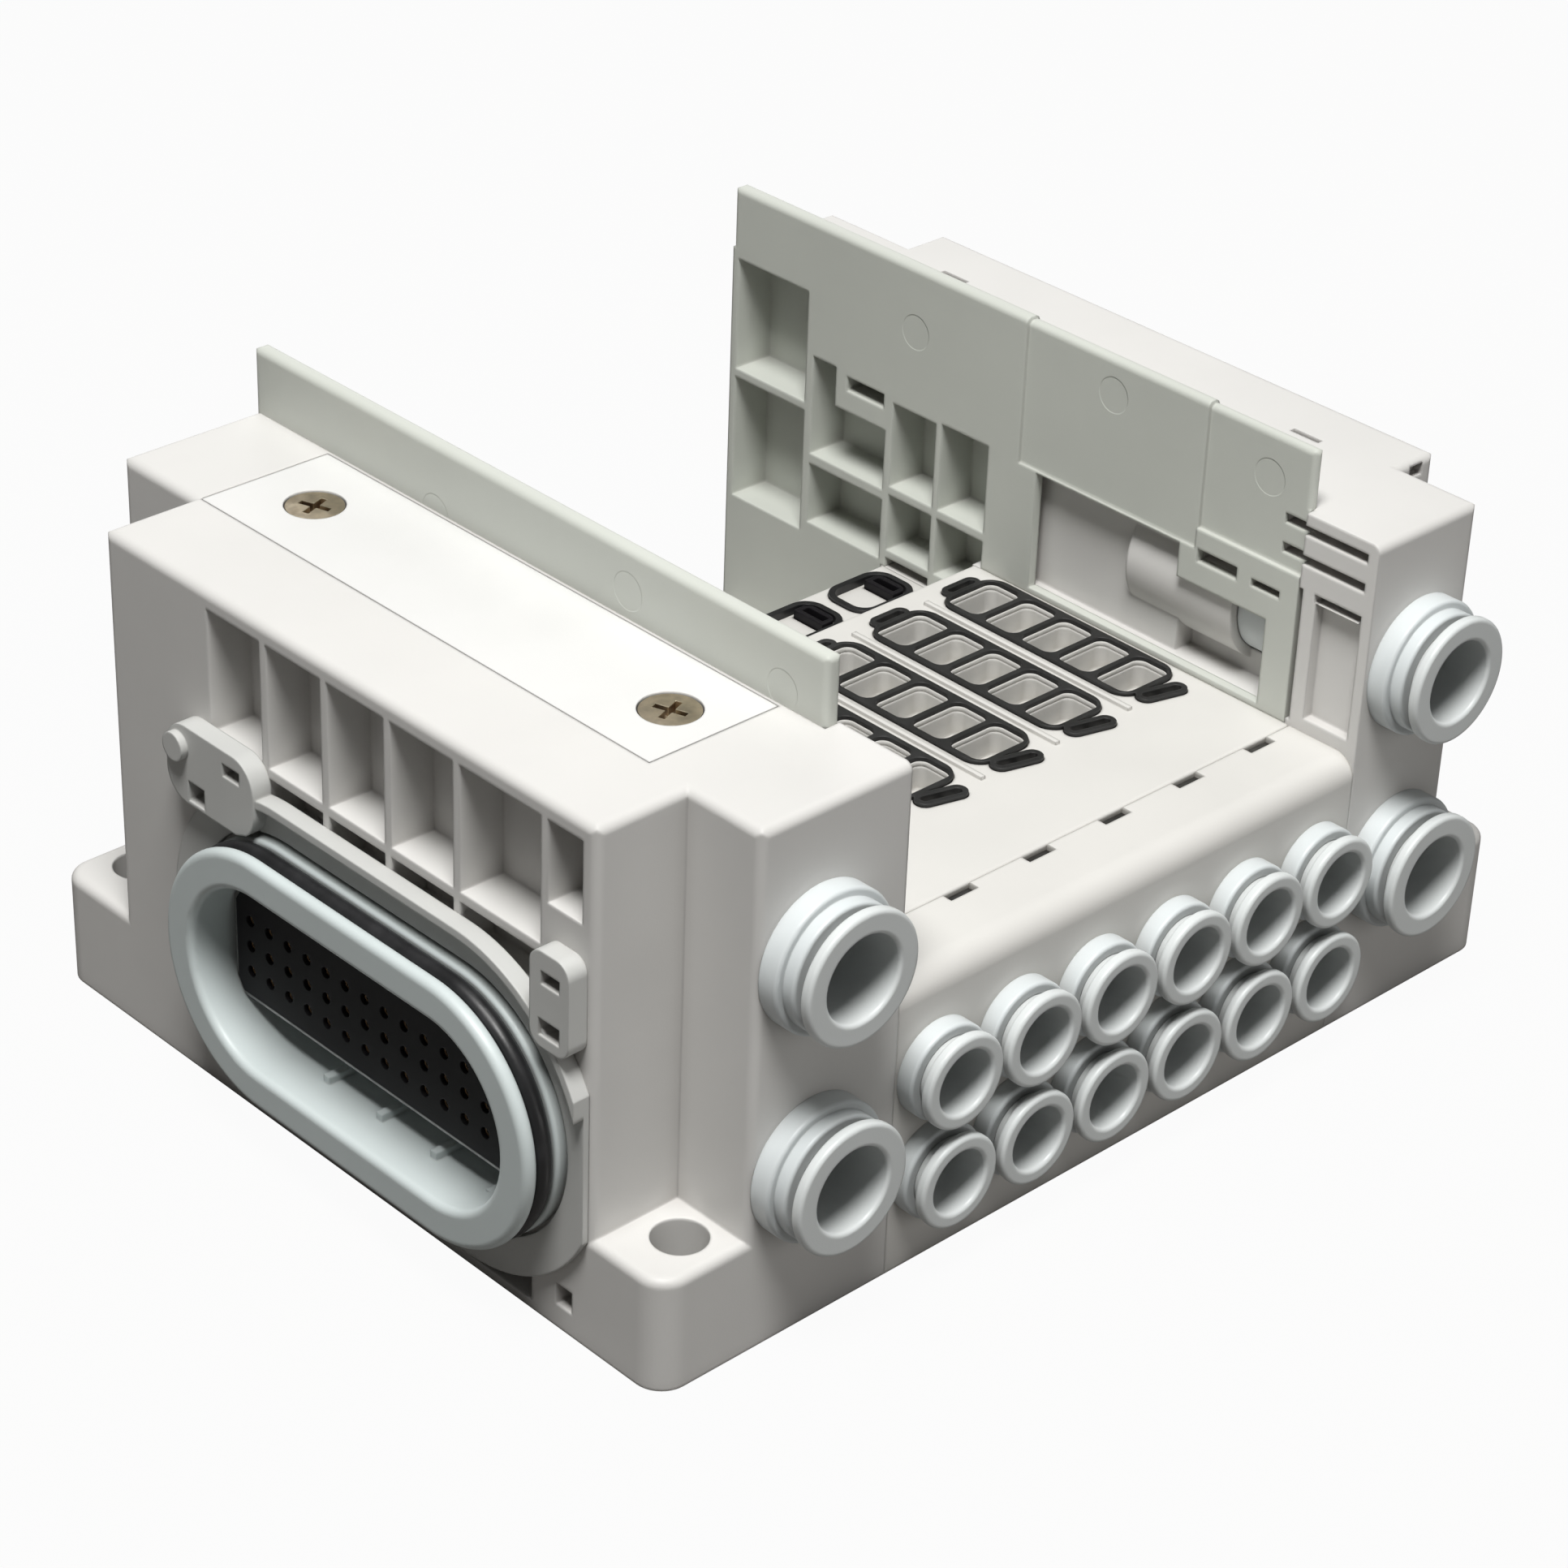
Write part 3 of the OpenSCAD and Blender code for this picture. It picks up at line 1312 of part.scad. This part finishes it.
connector_end_block();
end_cover();
cover_screws();
left_side_plate();
connector_retainer();
connector_hood();
hood_seal();
socket_shell();
socket_insert();
socket_contacts();
manifold_base();
port_panel();
port_clips();
supply_end_block();
ribbed_side_plate();
wiring_board();
tie_screws();
gallery_seals();
tube_seals();
grip_collets();
fitting_seals();
rear_seals();
for (k = [1 : stations]) {
    valve_gasket(k);
    valve_socket(k);
    station_fittings(k);
    upper_ring(k);
    lower_ring(k);
}
place() translate(supply_left) large_fitting();  // supply_fitting_left
place() translate(exhaust_left) large_fitting();  // exhaust_fitting_left
place() translate(supply_right) large_fitting();  // supply_fitting_right
place() translate(exhaust_right) large_fitting();  // exhaust_fitting_right
place() translate(supply_left) large_ring();  // supply_ring_left
place() translate(exhaust_left) large_ring();  // exhaust_ring_left
place() translate(supply_right) large_ring();  // supply_ring_right
place() translate(exhaust_right) large_ring();  // exhaust_ring_right
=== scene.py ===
import json
from math import cos, sin, radians

import bpy
import numpy as np
from mathutils import Matrix, Quaternion, Vector


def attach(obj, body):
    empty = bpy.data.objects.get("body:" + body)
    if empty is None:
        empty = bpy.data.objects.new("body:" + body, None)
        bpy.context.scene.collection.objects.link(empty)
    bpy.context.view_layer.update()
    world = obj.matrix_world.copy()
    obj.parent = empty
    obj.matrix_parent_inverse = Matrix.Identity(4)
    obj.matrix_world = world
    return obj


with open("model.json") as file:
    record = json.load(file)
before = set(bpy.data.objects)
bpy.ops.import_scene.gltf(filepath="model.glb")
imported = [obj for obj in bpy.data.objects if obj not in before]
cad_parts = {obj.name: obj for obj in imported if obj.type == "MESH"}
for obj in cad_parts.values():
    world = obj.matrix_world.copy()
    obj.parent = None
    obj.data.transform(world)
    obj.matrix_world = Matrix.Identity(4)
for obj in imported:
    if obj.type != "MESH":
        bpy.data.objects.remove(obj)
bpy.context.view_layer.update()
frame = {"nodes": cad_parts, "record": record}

cadNodes = frame["nodes"]
mm = 0.001
print("frame loaded:", len(cadNodes), "pieces")

viewSettings = {
    "place": (-257.13, -262.09, 240.35),  # where the camera stands, in mm
    "heading": 44.36,                     # degrees from +Y towards +X
    "tilt": 30.88,                        # degrees below level
    "roll": -2.25,
    "lens": 96.36,
    "sensor": 36.0,
    "nearest": 0.01, "farthest": 20,      # what the camera sees, in metres
}


def makeCamera(s):
    az, el = radians(s["heading"]), radians(s["tilt"])
    ahead = Vector((sin(az) * cos(el), cos(az) * cos(el), -sin(el)))
    turn = Quaternion(ahead, radians(s["roll"])) @ ahead.to_track_quat("-Z", "Y")
    data = bpy.data.cameras.new("photoView")
    data.lens = s["lens"]
    data.sensor_width = s["sensor"]
    data.sensor_fit = "HORIZONTAL"
    data.clip_start = s["nearest"]
    data.clip_end = s["farthest"]
    camera = bpy.data.objects.new("photoView", data)
    bpy.context.scene.collection.objects.link(camera)
    camera.matrix_world = Matrix.Translation(Vector(s["place"]) * mm) @ turn.to_matrix().to_4x4()
    bpy.context.scene.camera = camera


makeCamera(viewSettings)
print("camera stands")

# places and sizes of the lamps and the floor are in metres
lampSettings = {
    "topLamp": {"place": (-0.21, -0.17, 0.76), "aim": (0, 0, 0.03), "size": 0.28, "power": 7.7,
                "colour": (1, 0.995, 0.98)},
    "frontLamp": {"place": (0.10, -0.62, 0.10), "aim": (0.01, -0.04, 0.02), "size": 0.4, "power": 0.55,
                  "colour": (1, 0.99, 0.97)},
    "rearLamp": {"place": (0.50, 0.60, 0.25), "aim": (0, 0, 0.03), "size": 0.5, "power": 1.1,
                 "colour": (1, 1, 1)},
}
worldSettings = {"level": 0.08, "colour": (1.0, 0.985, 0.96), "backdrop": (1, 1, 1)}
floorSettings = {
    "colour": (0.15, 0.145, 0.14),
    "rings": (0.0001, 0.3, 1.0, 3.0), "turns": 96,
    "below": 0.0002,                      # just under the feet
    "glow": 1.03, "glowShare": 0.93,      # how white the camera sees it
}


def makeLamp(name, s):
    data = bpy.data.lights.new(name, "AREA")
    data.shape = "DISK"
    data.size = s["size"]
    data.energy = s["power"]
    data.color = s["colour"]
    lamp = bpy.data.objects.new(name, data)
    bpy.context.scene.collection.objects.link(lamp)
    place = Vector(s["place"])
    turn = (Vector(s["aim"]) - place).to_track_quat("-Z", "Y")
    lamp.matrix_world = Matrix.Translation(place) @ turn.to_matrix().to_4x4()


def makeWorld(s):
    # the camera sees white, everything else gets the weaker fill
    world = bpy.data.worlds.new("studio")
    world.use_nodes = True
    bpy.context.scene.world = world
    nodes, links = world.node_tree.nodes, world.node_tree.links
    nodes.clear()
    out = nodes.new("ShaderNodeOutputWorld")
    mix = nodes.new("ShaderNodeMixShader")
    fill = nodes.new("ShaderNodeBackground")
    fill.inputs["Color"].default_value = (*s["colour"], 1)
    fill.inputs["Strength"].default_value = s["level"]
    white = nodes.new("ShaderNodeBackground")
    white.inputs["Color"].default_value = (*s["backdrop"], 1)
    path = nodes.new("ShaderNodeLightPath")
    links.new(path.outputs["Is Camera Ray"], mix.inputs[0])
    links.new(fill.outputs[0], mix.inputs[1])
    links.new(white.outputs[0], mix.inputs[2])
    links.new(mix.outputs[0], out.inputs["Surface"])


def makeFloor(s):
    # a wide disc: radius times cosine and sine of the turn, on the ground plane
    n = s["turns"]
    turn = np.linspace(0, 2 * np.pi, n + 1)[:-1]
    x = np.outer(s["rings"], np.cos(turn)).ravel()
    y = np.outer(s["rings"], np.sin(turn)).ravel()
    verts = np.stack([x, y, np.full_like(x, -s["below"])], 1)
    i, j = np.meshgrid(np.arange(len(s["rings"]) - 1), np.arange(n), indexing="ij")
    a = (i * n + j).ravel()
    b = (i * n + (j + 1) % n).ravel()
    faces = np.stack([a, a + n, b + n, b], 1)
    mesh = bpy.data.meshes.new("floor")
    mesh.from_pydata(verts.tolist(), [], faces.tolist() + [list(range(n))])
    floor = bpy.data.objects.new("floor", mesh)
    bpy.context.scene.collection.objects.link(floor)
    mat = bpy.data.materials.new("paleFloor")
    mat.use_nodes = True
    nodes, links = mat.node_tree.nodes, mat.node_tree.links
    nodes.clear()
    out = nodes.new("ShaderNodeOutputMaterial")
    diffuse = nodes.new("ShaderNodeBsdfDiffuse")
    diffuse.inputs["Color"].default_value = (*s["colour"], 1)
    glow = nodes.new("ShaderNodeEmission")
    glow.inputs["Strength"].default_value = s["glow"]
    mix = nodes.new("ShaderNodeMixShader")
    path = nodes.new("ShaderNodeLightPath")
    amount = nodes.new("ShaderNodeMath")
    amount.operation = "MULTIPLY"
    amount.inputs[1].default_value = s["glowShare"]
    links.new(path.outputs["Is Camera Ray"], amount.inputs[0])
    links.new(amount.outputs[0], mix.inputs[0])
    links.new(diffuse.outputs[0], mix.inputs[1])
    links.new(glow.outputs[0], mix.inputs[2])
    links.new(mix.outputs[0], out.inputs["Surface"])
    mesh.materials.append(mat)


makeWorld(worldSettings)
for lampName, lamp in lampSettings.items():
    makeLamp(lampName, lamp)
makeFloor(floorSettings)
bpy.context.scene.view_settings.view_transform = "Standard"
print("light and floor ready")


def startMaterial(name):
    mat = bpy.data.materials.new(name)
    mat.use_nodes = True
    nodes, links = mat.node_tree.nodes, mat.node_tree.links
    nodes.clear()
    out = nodes.new("ShaderNodeOutputMaterial")
    shader = nodes.new("ShaderNodeBsdfPrincipled")
    links.new(shader.outputs[0], out.inputs["Surface"])
    coords = nodes.new("ShaderNodeTexCoord")
    return mat, nodes, links, shader, coords.outputs["Object"]


def addNoise(nodes, links, coords, scale, detail=4.0, roughness=0.55):
    noise = nodes.new("ShaderNodeTexNoise")
    noise.inputs["Scale"].default_value = scale
    noise.inputs["Detail"].default_value = detail
    noise.inputs["Roughness"].default_value = roughness
    links.new(coords, noise.inputs["Vector"])
    return noise.outputs["Fac"]


def addRange(nodes, links, value, low, high, toLow, toHigh):
    ramp = nodes.new("ShaderNodeMapRange")
    for key, number in (("From Min", low), ("From Max", high), ("To Min", toLow), ("To Max", toHigh)):
        ramp.inputs[key].default_value = number
    links.new(value, ramp.inputs["Value"])
    return ramp.outputs[0]


def addMix(nodes, links, factor, first, second):
    mix = nodes.new("ShaderNodeMix")
    mix.data_type = "RGBA"
    links.new(factor, mix.inputs["Factor"])
    for socket, colour in ((mix.inputs["A"], first), (mix.inputs["B"], second)):
        if isinstance(colour, tuple):
            socket.default_value = (*colour, 1)
        else:
            links.new(colour, socket)
    return mix.outputs["Result"]


def addMath(nodes, links, operation, first, second):
    node = nodes.new("ShaderNodeMath")
    node.operation = operation
    for socket, value in ((node.inputs[0], first), (node.inputs[1], second)):
        if isinstance(value, (int, float)):
            socket.default_value = value
        else:
            links.new(value, socket)
    return node.outputs[0]


wearAndShadeSettings = {
    "samples": 6,
    "edgeStart": 0.995, "edgeEnd": 0.90,     # cosine between the rounded and the flat normal
    "openFullShade": 0.15, "openNoShade": 0.75,    # share of open sky where the painted corner shade is full, and where it ends
    "grainDepth": 0.03,                      # mm
    "markDepth": 0.08, "markStrength": 0.6, "markRim": 0.12,
    "metalShadeReach": 1.0, "streakDepth": 0.02, "streakStrength": 0.3,
}


def addBevel(nodes, radius):
    soft = nodes.new("ShaderNodeBevel")
    soft.samples = wearAndShadeSettings["samples"]
    soft.inputs["Radius"].default_value = radius * mm
    return soft.outputs[0]


def addEdge(nodes, links, softNormal, amount):
    # the rounded normal against the flat one shows where an edge is
    flat = nodes.new("ShaderNodeNewGeometry")
    dot = nodes.new("ShaderNodeVectorMath")
    dot.operation = "DOT_PRODUCT"
    links.new(softNormal, dot.inputs[0])
    links.new(flat.outputs["Normal"], dot.inputs[1])
    start, end = wearAndShadeSettings["edgeStart"], wearAndShadeSettings["edgeEnd"]
    return addRange(nodes, links, dot.outputs["Value"], start, end, 0, amount)


# painted shade: darkens the colour where ambient occlusion finds the surface enclosed, in corners and
# hollows
def addCornerShade(nodes, links, reach, amount):
    corner = nodes.new("ShaderNodeAmbientOcclusion")
    corner.samples = wearAndShadeSettings["samples"]
    corner.inputs["Distance"].default_value = reach * mm
    dirty, shadeNone = wearAndShadeSettings["openFullShade"], wearAndShadeSettings["openNoShade"]
    return addRange(nodes, links, corner.outputs["AO"], dirty, shadeNone, amount, 0)


def addBump(nodes, links, height, strength, depth, below=None):
    bump = nodes.new("ShaderNodeBump")
    bump.inputs["Strength"].default_value = strength
    bump.inputs["Distance"].default_value = depth * mm
    links.new(height, bump.inputs["Height"])
    if below is not None:
        links.new(below, bump.inputs["Normal"])
    return bump.outputs[0]


def scaled(colour, factor):
    return tuple(min(1.0, c * factor) for c in colour)


def addDiscs(nodes, links, coords, discs, radius, axis):
    # marks of the mould's pins: 1 within the radius of a line along the axis, 0 outside it
    total = None
    flatten = nodes.new("ShaderNodeVectorMath")
    flatten.operation = "MULTIPLY"
    flatten.inputs[1].default_value = tuple(0.0 if i == axis else 1.0 for i in range(3))
    links.new(coords, flatten.inputs[0])
    for place in discs:
        gap = nodes.new("ShaderNodeVectorMath")
        gap.operation = "DISTANCE"
        gap.inputs[1].default_value = tuple(0.0 if i == axis else place[i] * mm for i in range(3))
        links.new(flatten.outputs[0], gap.inputs[0])
        rim = (radius - wearAndShadeSettings["markRim"]) * mm
        spot = addRange(nodes, links, gap.outputs["Value"], radius * mm, rim, 0, 1)
        total = spot if total is None else addMath(nodes, links, "MAXIMUM", total, spot)
    return total


plasticBase = {
    "cloudScale": 45, "cloud": 0.02,           # broad drift of the colour
    "edgeRadius": 0.45, "edgeWear": 0.35,      # soft, slightly paler edges
    "edgeTone": 1.12,
    # painted shade: how far the darkening reaches into corners, how strong it is, and its colour
    "dirtReach": 3.0, "dirt": 0.40, "dirtColour": (0.20, 0.175, 0.16),
    "grainScale": 5200, "grain": 0.25,         # fine spark-eroded grain
    "flowScale": 90, "flow": 0.12,             # faint flow marks, drawn out along X
    "flowStretch": (0.35, 1.0, 1.6), "flowTone": 0.92,
    "roughness": 0.50, "gloss": 0.4,
    "discs": (), "discRadius": 2.0, "discAxis": 0,
}


def mouldedPlastic(name, s):
    # colour drifts with a broad noise, pales on worn edges and gets painted shade in deep corners
    mat, nodes, links, shader, coords = startMaterial(name)
    broad = addNoise(nodes, links, coords, s["cloudScale"], 3)
    stretch = nodes.new("ShaderNodeMapping")
    stretch.inputs["Scale"].default_value = s["flowStretch"]
    links.new(coords, stretch.inputs["Vector"])
    flow = addNoise(nodes, links, stretch.outputs[0], s["flowScale"], 2)
    cloud = addRange(nodes, links, broad, 0.35, 0.65, 0, 1)
    darker, paler = (scaled(s["colour"], 1 + side * s["cloud"]) for side in (-1, 1))
    colour = addMix(nodes, links, cloud, darker, paler)
    marks = addRange(nodes, links, flow, 0.4, 0.7, 0, s["flow"])
    colour = addMix(nodes, links, marks, colour, scaled(s["colour"], s["flowTone"]))
    soft = addBevel(nodes, s["edgeRadius"])
    edge = addEdge(nodes, links, soft, s["edgeWear"])
    colour = addMix(nodes, links, edge, colour, scaled(s["colour"], s["edgeTone"]))
    # painted shade darkens the colour in corners and hollows
    dirt = addCornerShade(nodes, links, s["dirtReach"], s["dirt"])
    colour = addMix(nodes, links, dirt, colour, s["dirtColour"])
    links.new(colour, shader.inputs["Base Color"])
    fine = addNoise(nodes, links, coords, s["grainScale"], 2)
    rough = addRange(nodes, links, broad, 0.3, 0.7, s["roughness"] - 0.05, s["roughness"] + 0.06)
    links.new(rough, shader.inputs["Roughness"])
    shader.inputs["Specular IOR Level"].default_value = s["gloss"]
    normal = addBump(nodes, links, fine, s["grain"], wearAndShadeSettings["grainDepth"], soft)
    if s["discs"]:
        spots = addDiscs(nodes, links, coords, s["discs"], s["discRadius"], s["discAxis"])
        height = addMath(nodes, links, "SUBTRACT", 1.0, spots)
        strength, depth = wearAndShadeSettings["markStrength"], wearAndShadeSettings["markDepth"]
        normal = addBump(nodes, links, height, strength, depth, normal)
    links.new(normal, shader.inputs["Normal"])
    return mat


rubberBase = {
    "bloomScale": 260, "bloomTone": 1.7,       # pale bloom in broad patches
    "edgeWear": 0.5, "edgeTone": 2.6,
    "grainScale": 3500, "grain": 0.25,
}


def blackRubber(name, s):
    mat, nodes, links, shader, coords = startMaterial(name)
    broad = addNoise(nodes, links, coords, s["bloomScale"], 3)
    bloom = addRange(nodes, links, broad, 0.45, 0.7, 0, 1)
    soft = addBevel(nodes, s["edgeRadius"])
    colour = addMix(nodes, links, bloom, s["colour"], scaled(s["colour"], s["bloomTone"]))
    edge = addEdge(nodes, links, soft, s["edgeWear"])
    colour = addMix(nodes, links, edge, colour, scaled(s["colour"], s["edgeTone"]))
    links.new(colour, shader.inputs["Base Color"])
    rough = addRange(nodes, links, broad, 0.3, 0.7, s["roughness"] - 0.08, s["roughness"] + 0.08)
    links.new(rough, shader.inputs["Roughness"])
    fine = addNoise(nodes, links, coords, s["grainScale"], 2)
    normal = addBump(nodes, links, fine, s["grain"], wearAndShadeSettings["grainDepth"], soft)
    links.new(normal, shader.inputs["Normal"])
    return mat


metalBase = {
    "stain": 0.8, "stainScale": 420,           # how dark the stains are, and how fine
    "streak": (0.2, 3, 3), "streakScale": 900,
    "roughness": 0.32, "edgeRadius": 0.12, "edgeWear": 0.6, "edgeTone": 1.35,
    # painted shade in the hollows: how strong it is, and its dark brown colour
    "dirt": 0.6, "dirtColour": (0.10, 0.07, 0.04),
}


def turnedMetal(name, s):
    # fine streaks: a noise drawn out along one axis
    mat, nodes, links, shader, coords = startMaterial(name)
    stretch = nodes.new("ShaderNodeMapping")
    stretch.inputs["Scale"].default_value = s["streak"]
    links.new(coords, stretch.inputs["Vector"])
    streak = addNoise(nodes, links, stretch.outputs[0], s["streakScale"], 3)
    stain = addNoise(nodes, links, coords, s["stainScale"], 3)
    tone = addRange(nodes, links, stain, 0.4, 0.65, 0, 1)
    soft = addBevel(nodes, s["edgeRadius"])
    colour = addMix(nodes, links, tone, s["colour"], scaled(s["colour"], s["stain"]))
    edge = addEdge(nodes, links, soft, s["edgeWear"])
    colour = addMix(nodes, links, edge, colour, scaled(s["colour"], s["edgeTone"]))
    # painted shade darkens the metal in its hollows
    dirt = addCornerShade(nodes, links, wearAndShadeSettings["metalShadeReach"], s["dirt"])
    colour = addMix(nodes, links, dirt, colour, s["dirtColour"])
    links.new(colour, shader.inputs["Base Color"])
    rough = addRange(nodes, links, streak, 0.3, 0.7, s["roughness"] - 0.08, s["roughness"] + 0.12)
    links.new(rough, shader.inputs["Roughness"])
    shader.inputs["Metallic"].default_value = 1.0
    strength, depth = wearAndShadeSettings["streakStrength"], wearAndShadeSettings["streakDepth"]
    normal = addBump(nodes, links, streak, strength, depth, soft)
    links.new(normal, shader.inputs["Normal"])
    return mat


def plastic(name, colour, **changes):
    return mouldedPlastic(name, {**plasticBase, "colour": colour, **changes})


def rubber(name, colour, **changes):
    return blackRubber(name, {**rubberBase, "colour": colour, **changes})


def metal(name, colour, **changes):
    return turnedMetal(name, {**metalBase, "colour": colour, **changes})


# spots of the mould's pins on the tall ribbed plate, in mm
pinMarks = ((0, 17.5, 55.3), (0, -10.3, 58.3), (0, -31.0, 57.1))

finishes = {
    "housing": plastic("blockPlastic", (0.66, 0.652, 0.635)),
    "cover": plastic("coverPlastic", (0.70, 0.70, 0.69), edgeRadius=0.3),
    # painted shade: the seat wells are darkened more strongly, in an olive grey
    "base": plastic("basePlastic", (0.66, 0.65, 0.625), dirt=0.6, dirtColour=(0.22, 0.205, 0.17)),
    "plate": plastic("platePlastic", (0.57, 0.59, 0.545), discs=pinMarks),
    "frame": plastic("framePlastic", (0.56, 0.565, 0.55), edgeRadius=0.3),
    "hood": plastic("hoodPlastic", (0.60, 0.66, 0.66), roughness=0.38, edgeRadius=0.35),
    "fitting": plastic("fittingPlastic", (0.66, 0.70, 0.71), roughness=0.36, edgeRadius=0.25),
    "ring": plastic("ringPlastic", (0.68, 0.71, 0.71), roughness=0.34, edgeRadius=0.25),
    "rubber": rubber("sealRubber", (0.012, 0.012, 0.013), roughness=0.42, edgeRadius=0.1),
    "gasket": rubber("gasketRubber", (0.014, 0.014, 0.014), roughness=0.5, edgeRadius=0.2),
    "insulator": plastic("insulatorPlastic", (0.010, 0.009, 0.011), edgeRadius=0.2, roughness=0.55,
                         gloss=0.2, dirtColour=(0.003, 0.003, 0.003)),
    "contact": metal("contactMetal", (0.62, 0.42, 0.24), roughness=0.3),
    # painted shade: the screw recesses are darkened strongly, in a brown
    "screw": metal("screwMetal", (0.80, 0.68, 0.50), stain=0.7, roughness=0.36, streak=(1, 1, 1), dirt=0.9,
                   dirtColour=(0.16, 0.10, 0.06)),
    "steel": metal("steelMetal", (0.55, 0.55, 0.56), stain=0.85),
    "shell": metal("shellMetal", (0.36, 0.355, 0.35), stain=0.7, roughness=0.4),
    "clip": metal("clipMetal", (0.16, 0.155, 0.15), stain=0.7, roughness=0.4, streak=(1, 1, 4)),
    "board": plastic("boardLaminate", (0.02, 0.11, 0.05), roughness=0.4),
}
slotOf = {row["node"]: row["material_slot"] for row in frame["record"]["subparts"]}
for nodeName, node in cadNodes.items():
    node.data.materials.clear()
    node.data.materials.append(finishes[slotOf[nodeName]])
print("finishes ready")

# thin inner walls of the gasket grooves, one round each cell of the six seats, in mm
landSettings = {
    "seats": 6, "pitch": 10.5, "firstX": -24.35,
    "cells": 5, "cellPitch": 5.28, "firstY": -20.31,
    "width": 7.1, "length": 4.68, "corner": 1.2,
    "gap": 0.03, "wall": 0.16, "rounding": 0.05,
    "foot": 31.4, "top": 31.93,
    "cornerSteps": 9,
}


def makeSeatLands(s):
    # a point of the loop = the corner arc's centre + its radius times cosine and sine of the turn;
    # the loop is drawn in by each step of the wall's outline, and the ring closes on itself
    inner = s["gap"] + s["wall"]
    outline = np.array([
        [s["gap"], s["foot"]], [s["gap"], s["top"] - s["rounding"]],
        [s["gap"] + s["rounding"], s["top"]], [inner - s["rounding"], s["top"]],
        [inner, s["top"] - s["rounding"]], [inner, s["foot"]],
    ])
    quarter = np.linspace(0, np.pi / 2, s["cornerSteps"])
    turn = (np.arange(4)[:, None] * np.pi / 2 + quarter).ravel()
    side = np.array([[1, 1], [-1, 1], [-1, -1], [1, -1]]).repeat(s["cornerSteps"], 0)
    half = np.array([s["width"], s["length"]]) / 2 - s["corner"]
    arc = np.stack([np.cos(turn), np.sin(turn)], 1)
    flat = side * half + (s["corner"] - outline[:, 0])[:, None, None] * arc
    n, m = len(outline), len(turn)
    ring = np.concatenate([flat, np.broadcast_to(outline[:, 1][:, None, None], (n, m, 1))], 2)
    x, y = np.meshgrid(s["firstX"] + s["pitch"] * np.arange(s["seats"]),
                       s["firstY"] + s["cellPitch"] * np.arange(s["cells"]), indexing="ij")
    places = np.stack([x.ravel(), y.ravel(), np.zeros(x.size)], 1)
    verts = (places[:, None, None, :] + ring).reshape(-1, 3)
    i, j = np.meshgrid(np.arange(n), np.arange(m), indexing="ij")
    a, b = i * m + j, i * m + (j + 1) % m
    c, d = (i + 1) % n * m + (j + 1) % m, (i + 1) % n * m + j
    faces = np.stack([a, b, c, d], 2).reshape(-1, 4)
    faces = (faces + n * m * np.arange(len(places))[:, None, None]).reshape(-1, 4)
    mesh = bpy.data.meshes.new("seatLands")
    mesh.from_pydata((verts * mm).tolist(), [], faces.tolist())
    lands = bpy.data.objects.new("seatLands", mesh)
    bpy.context.scene.collection.objects.link(lands)
    mesh.materials.append(finishes["base"])
    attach(lands, "manifold")


makeSeatLands(landSettings)
print("seat lands ready")
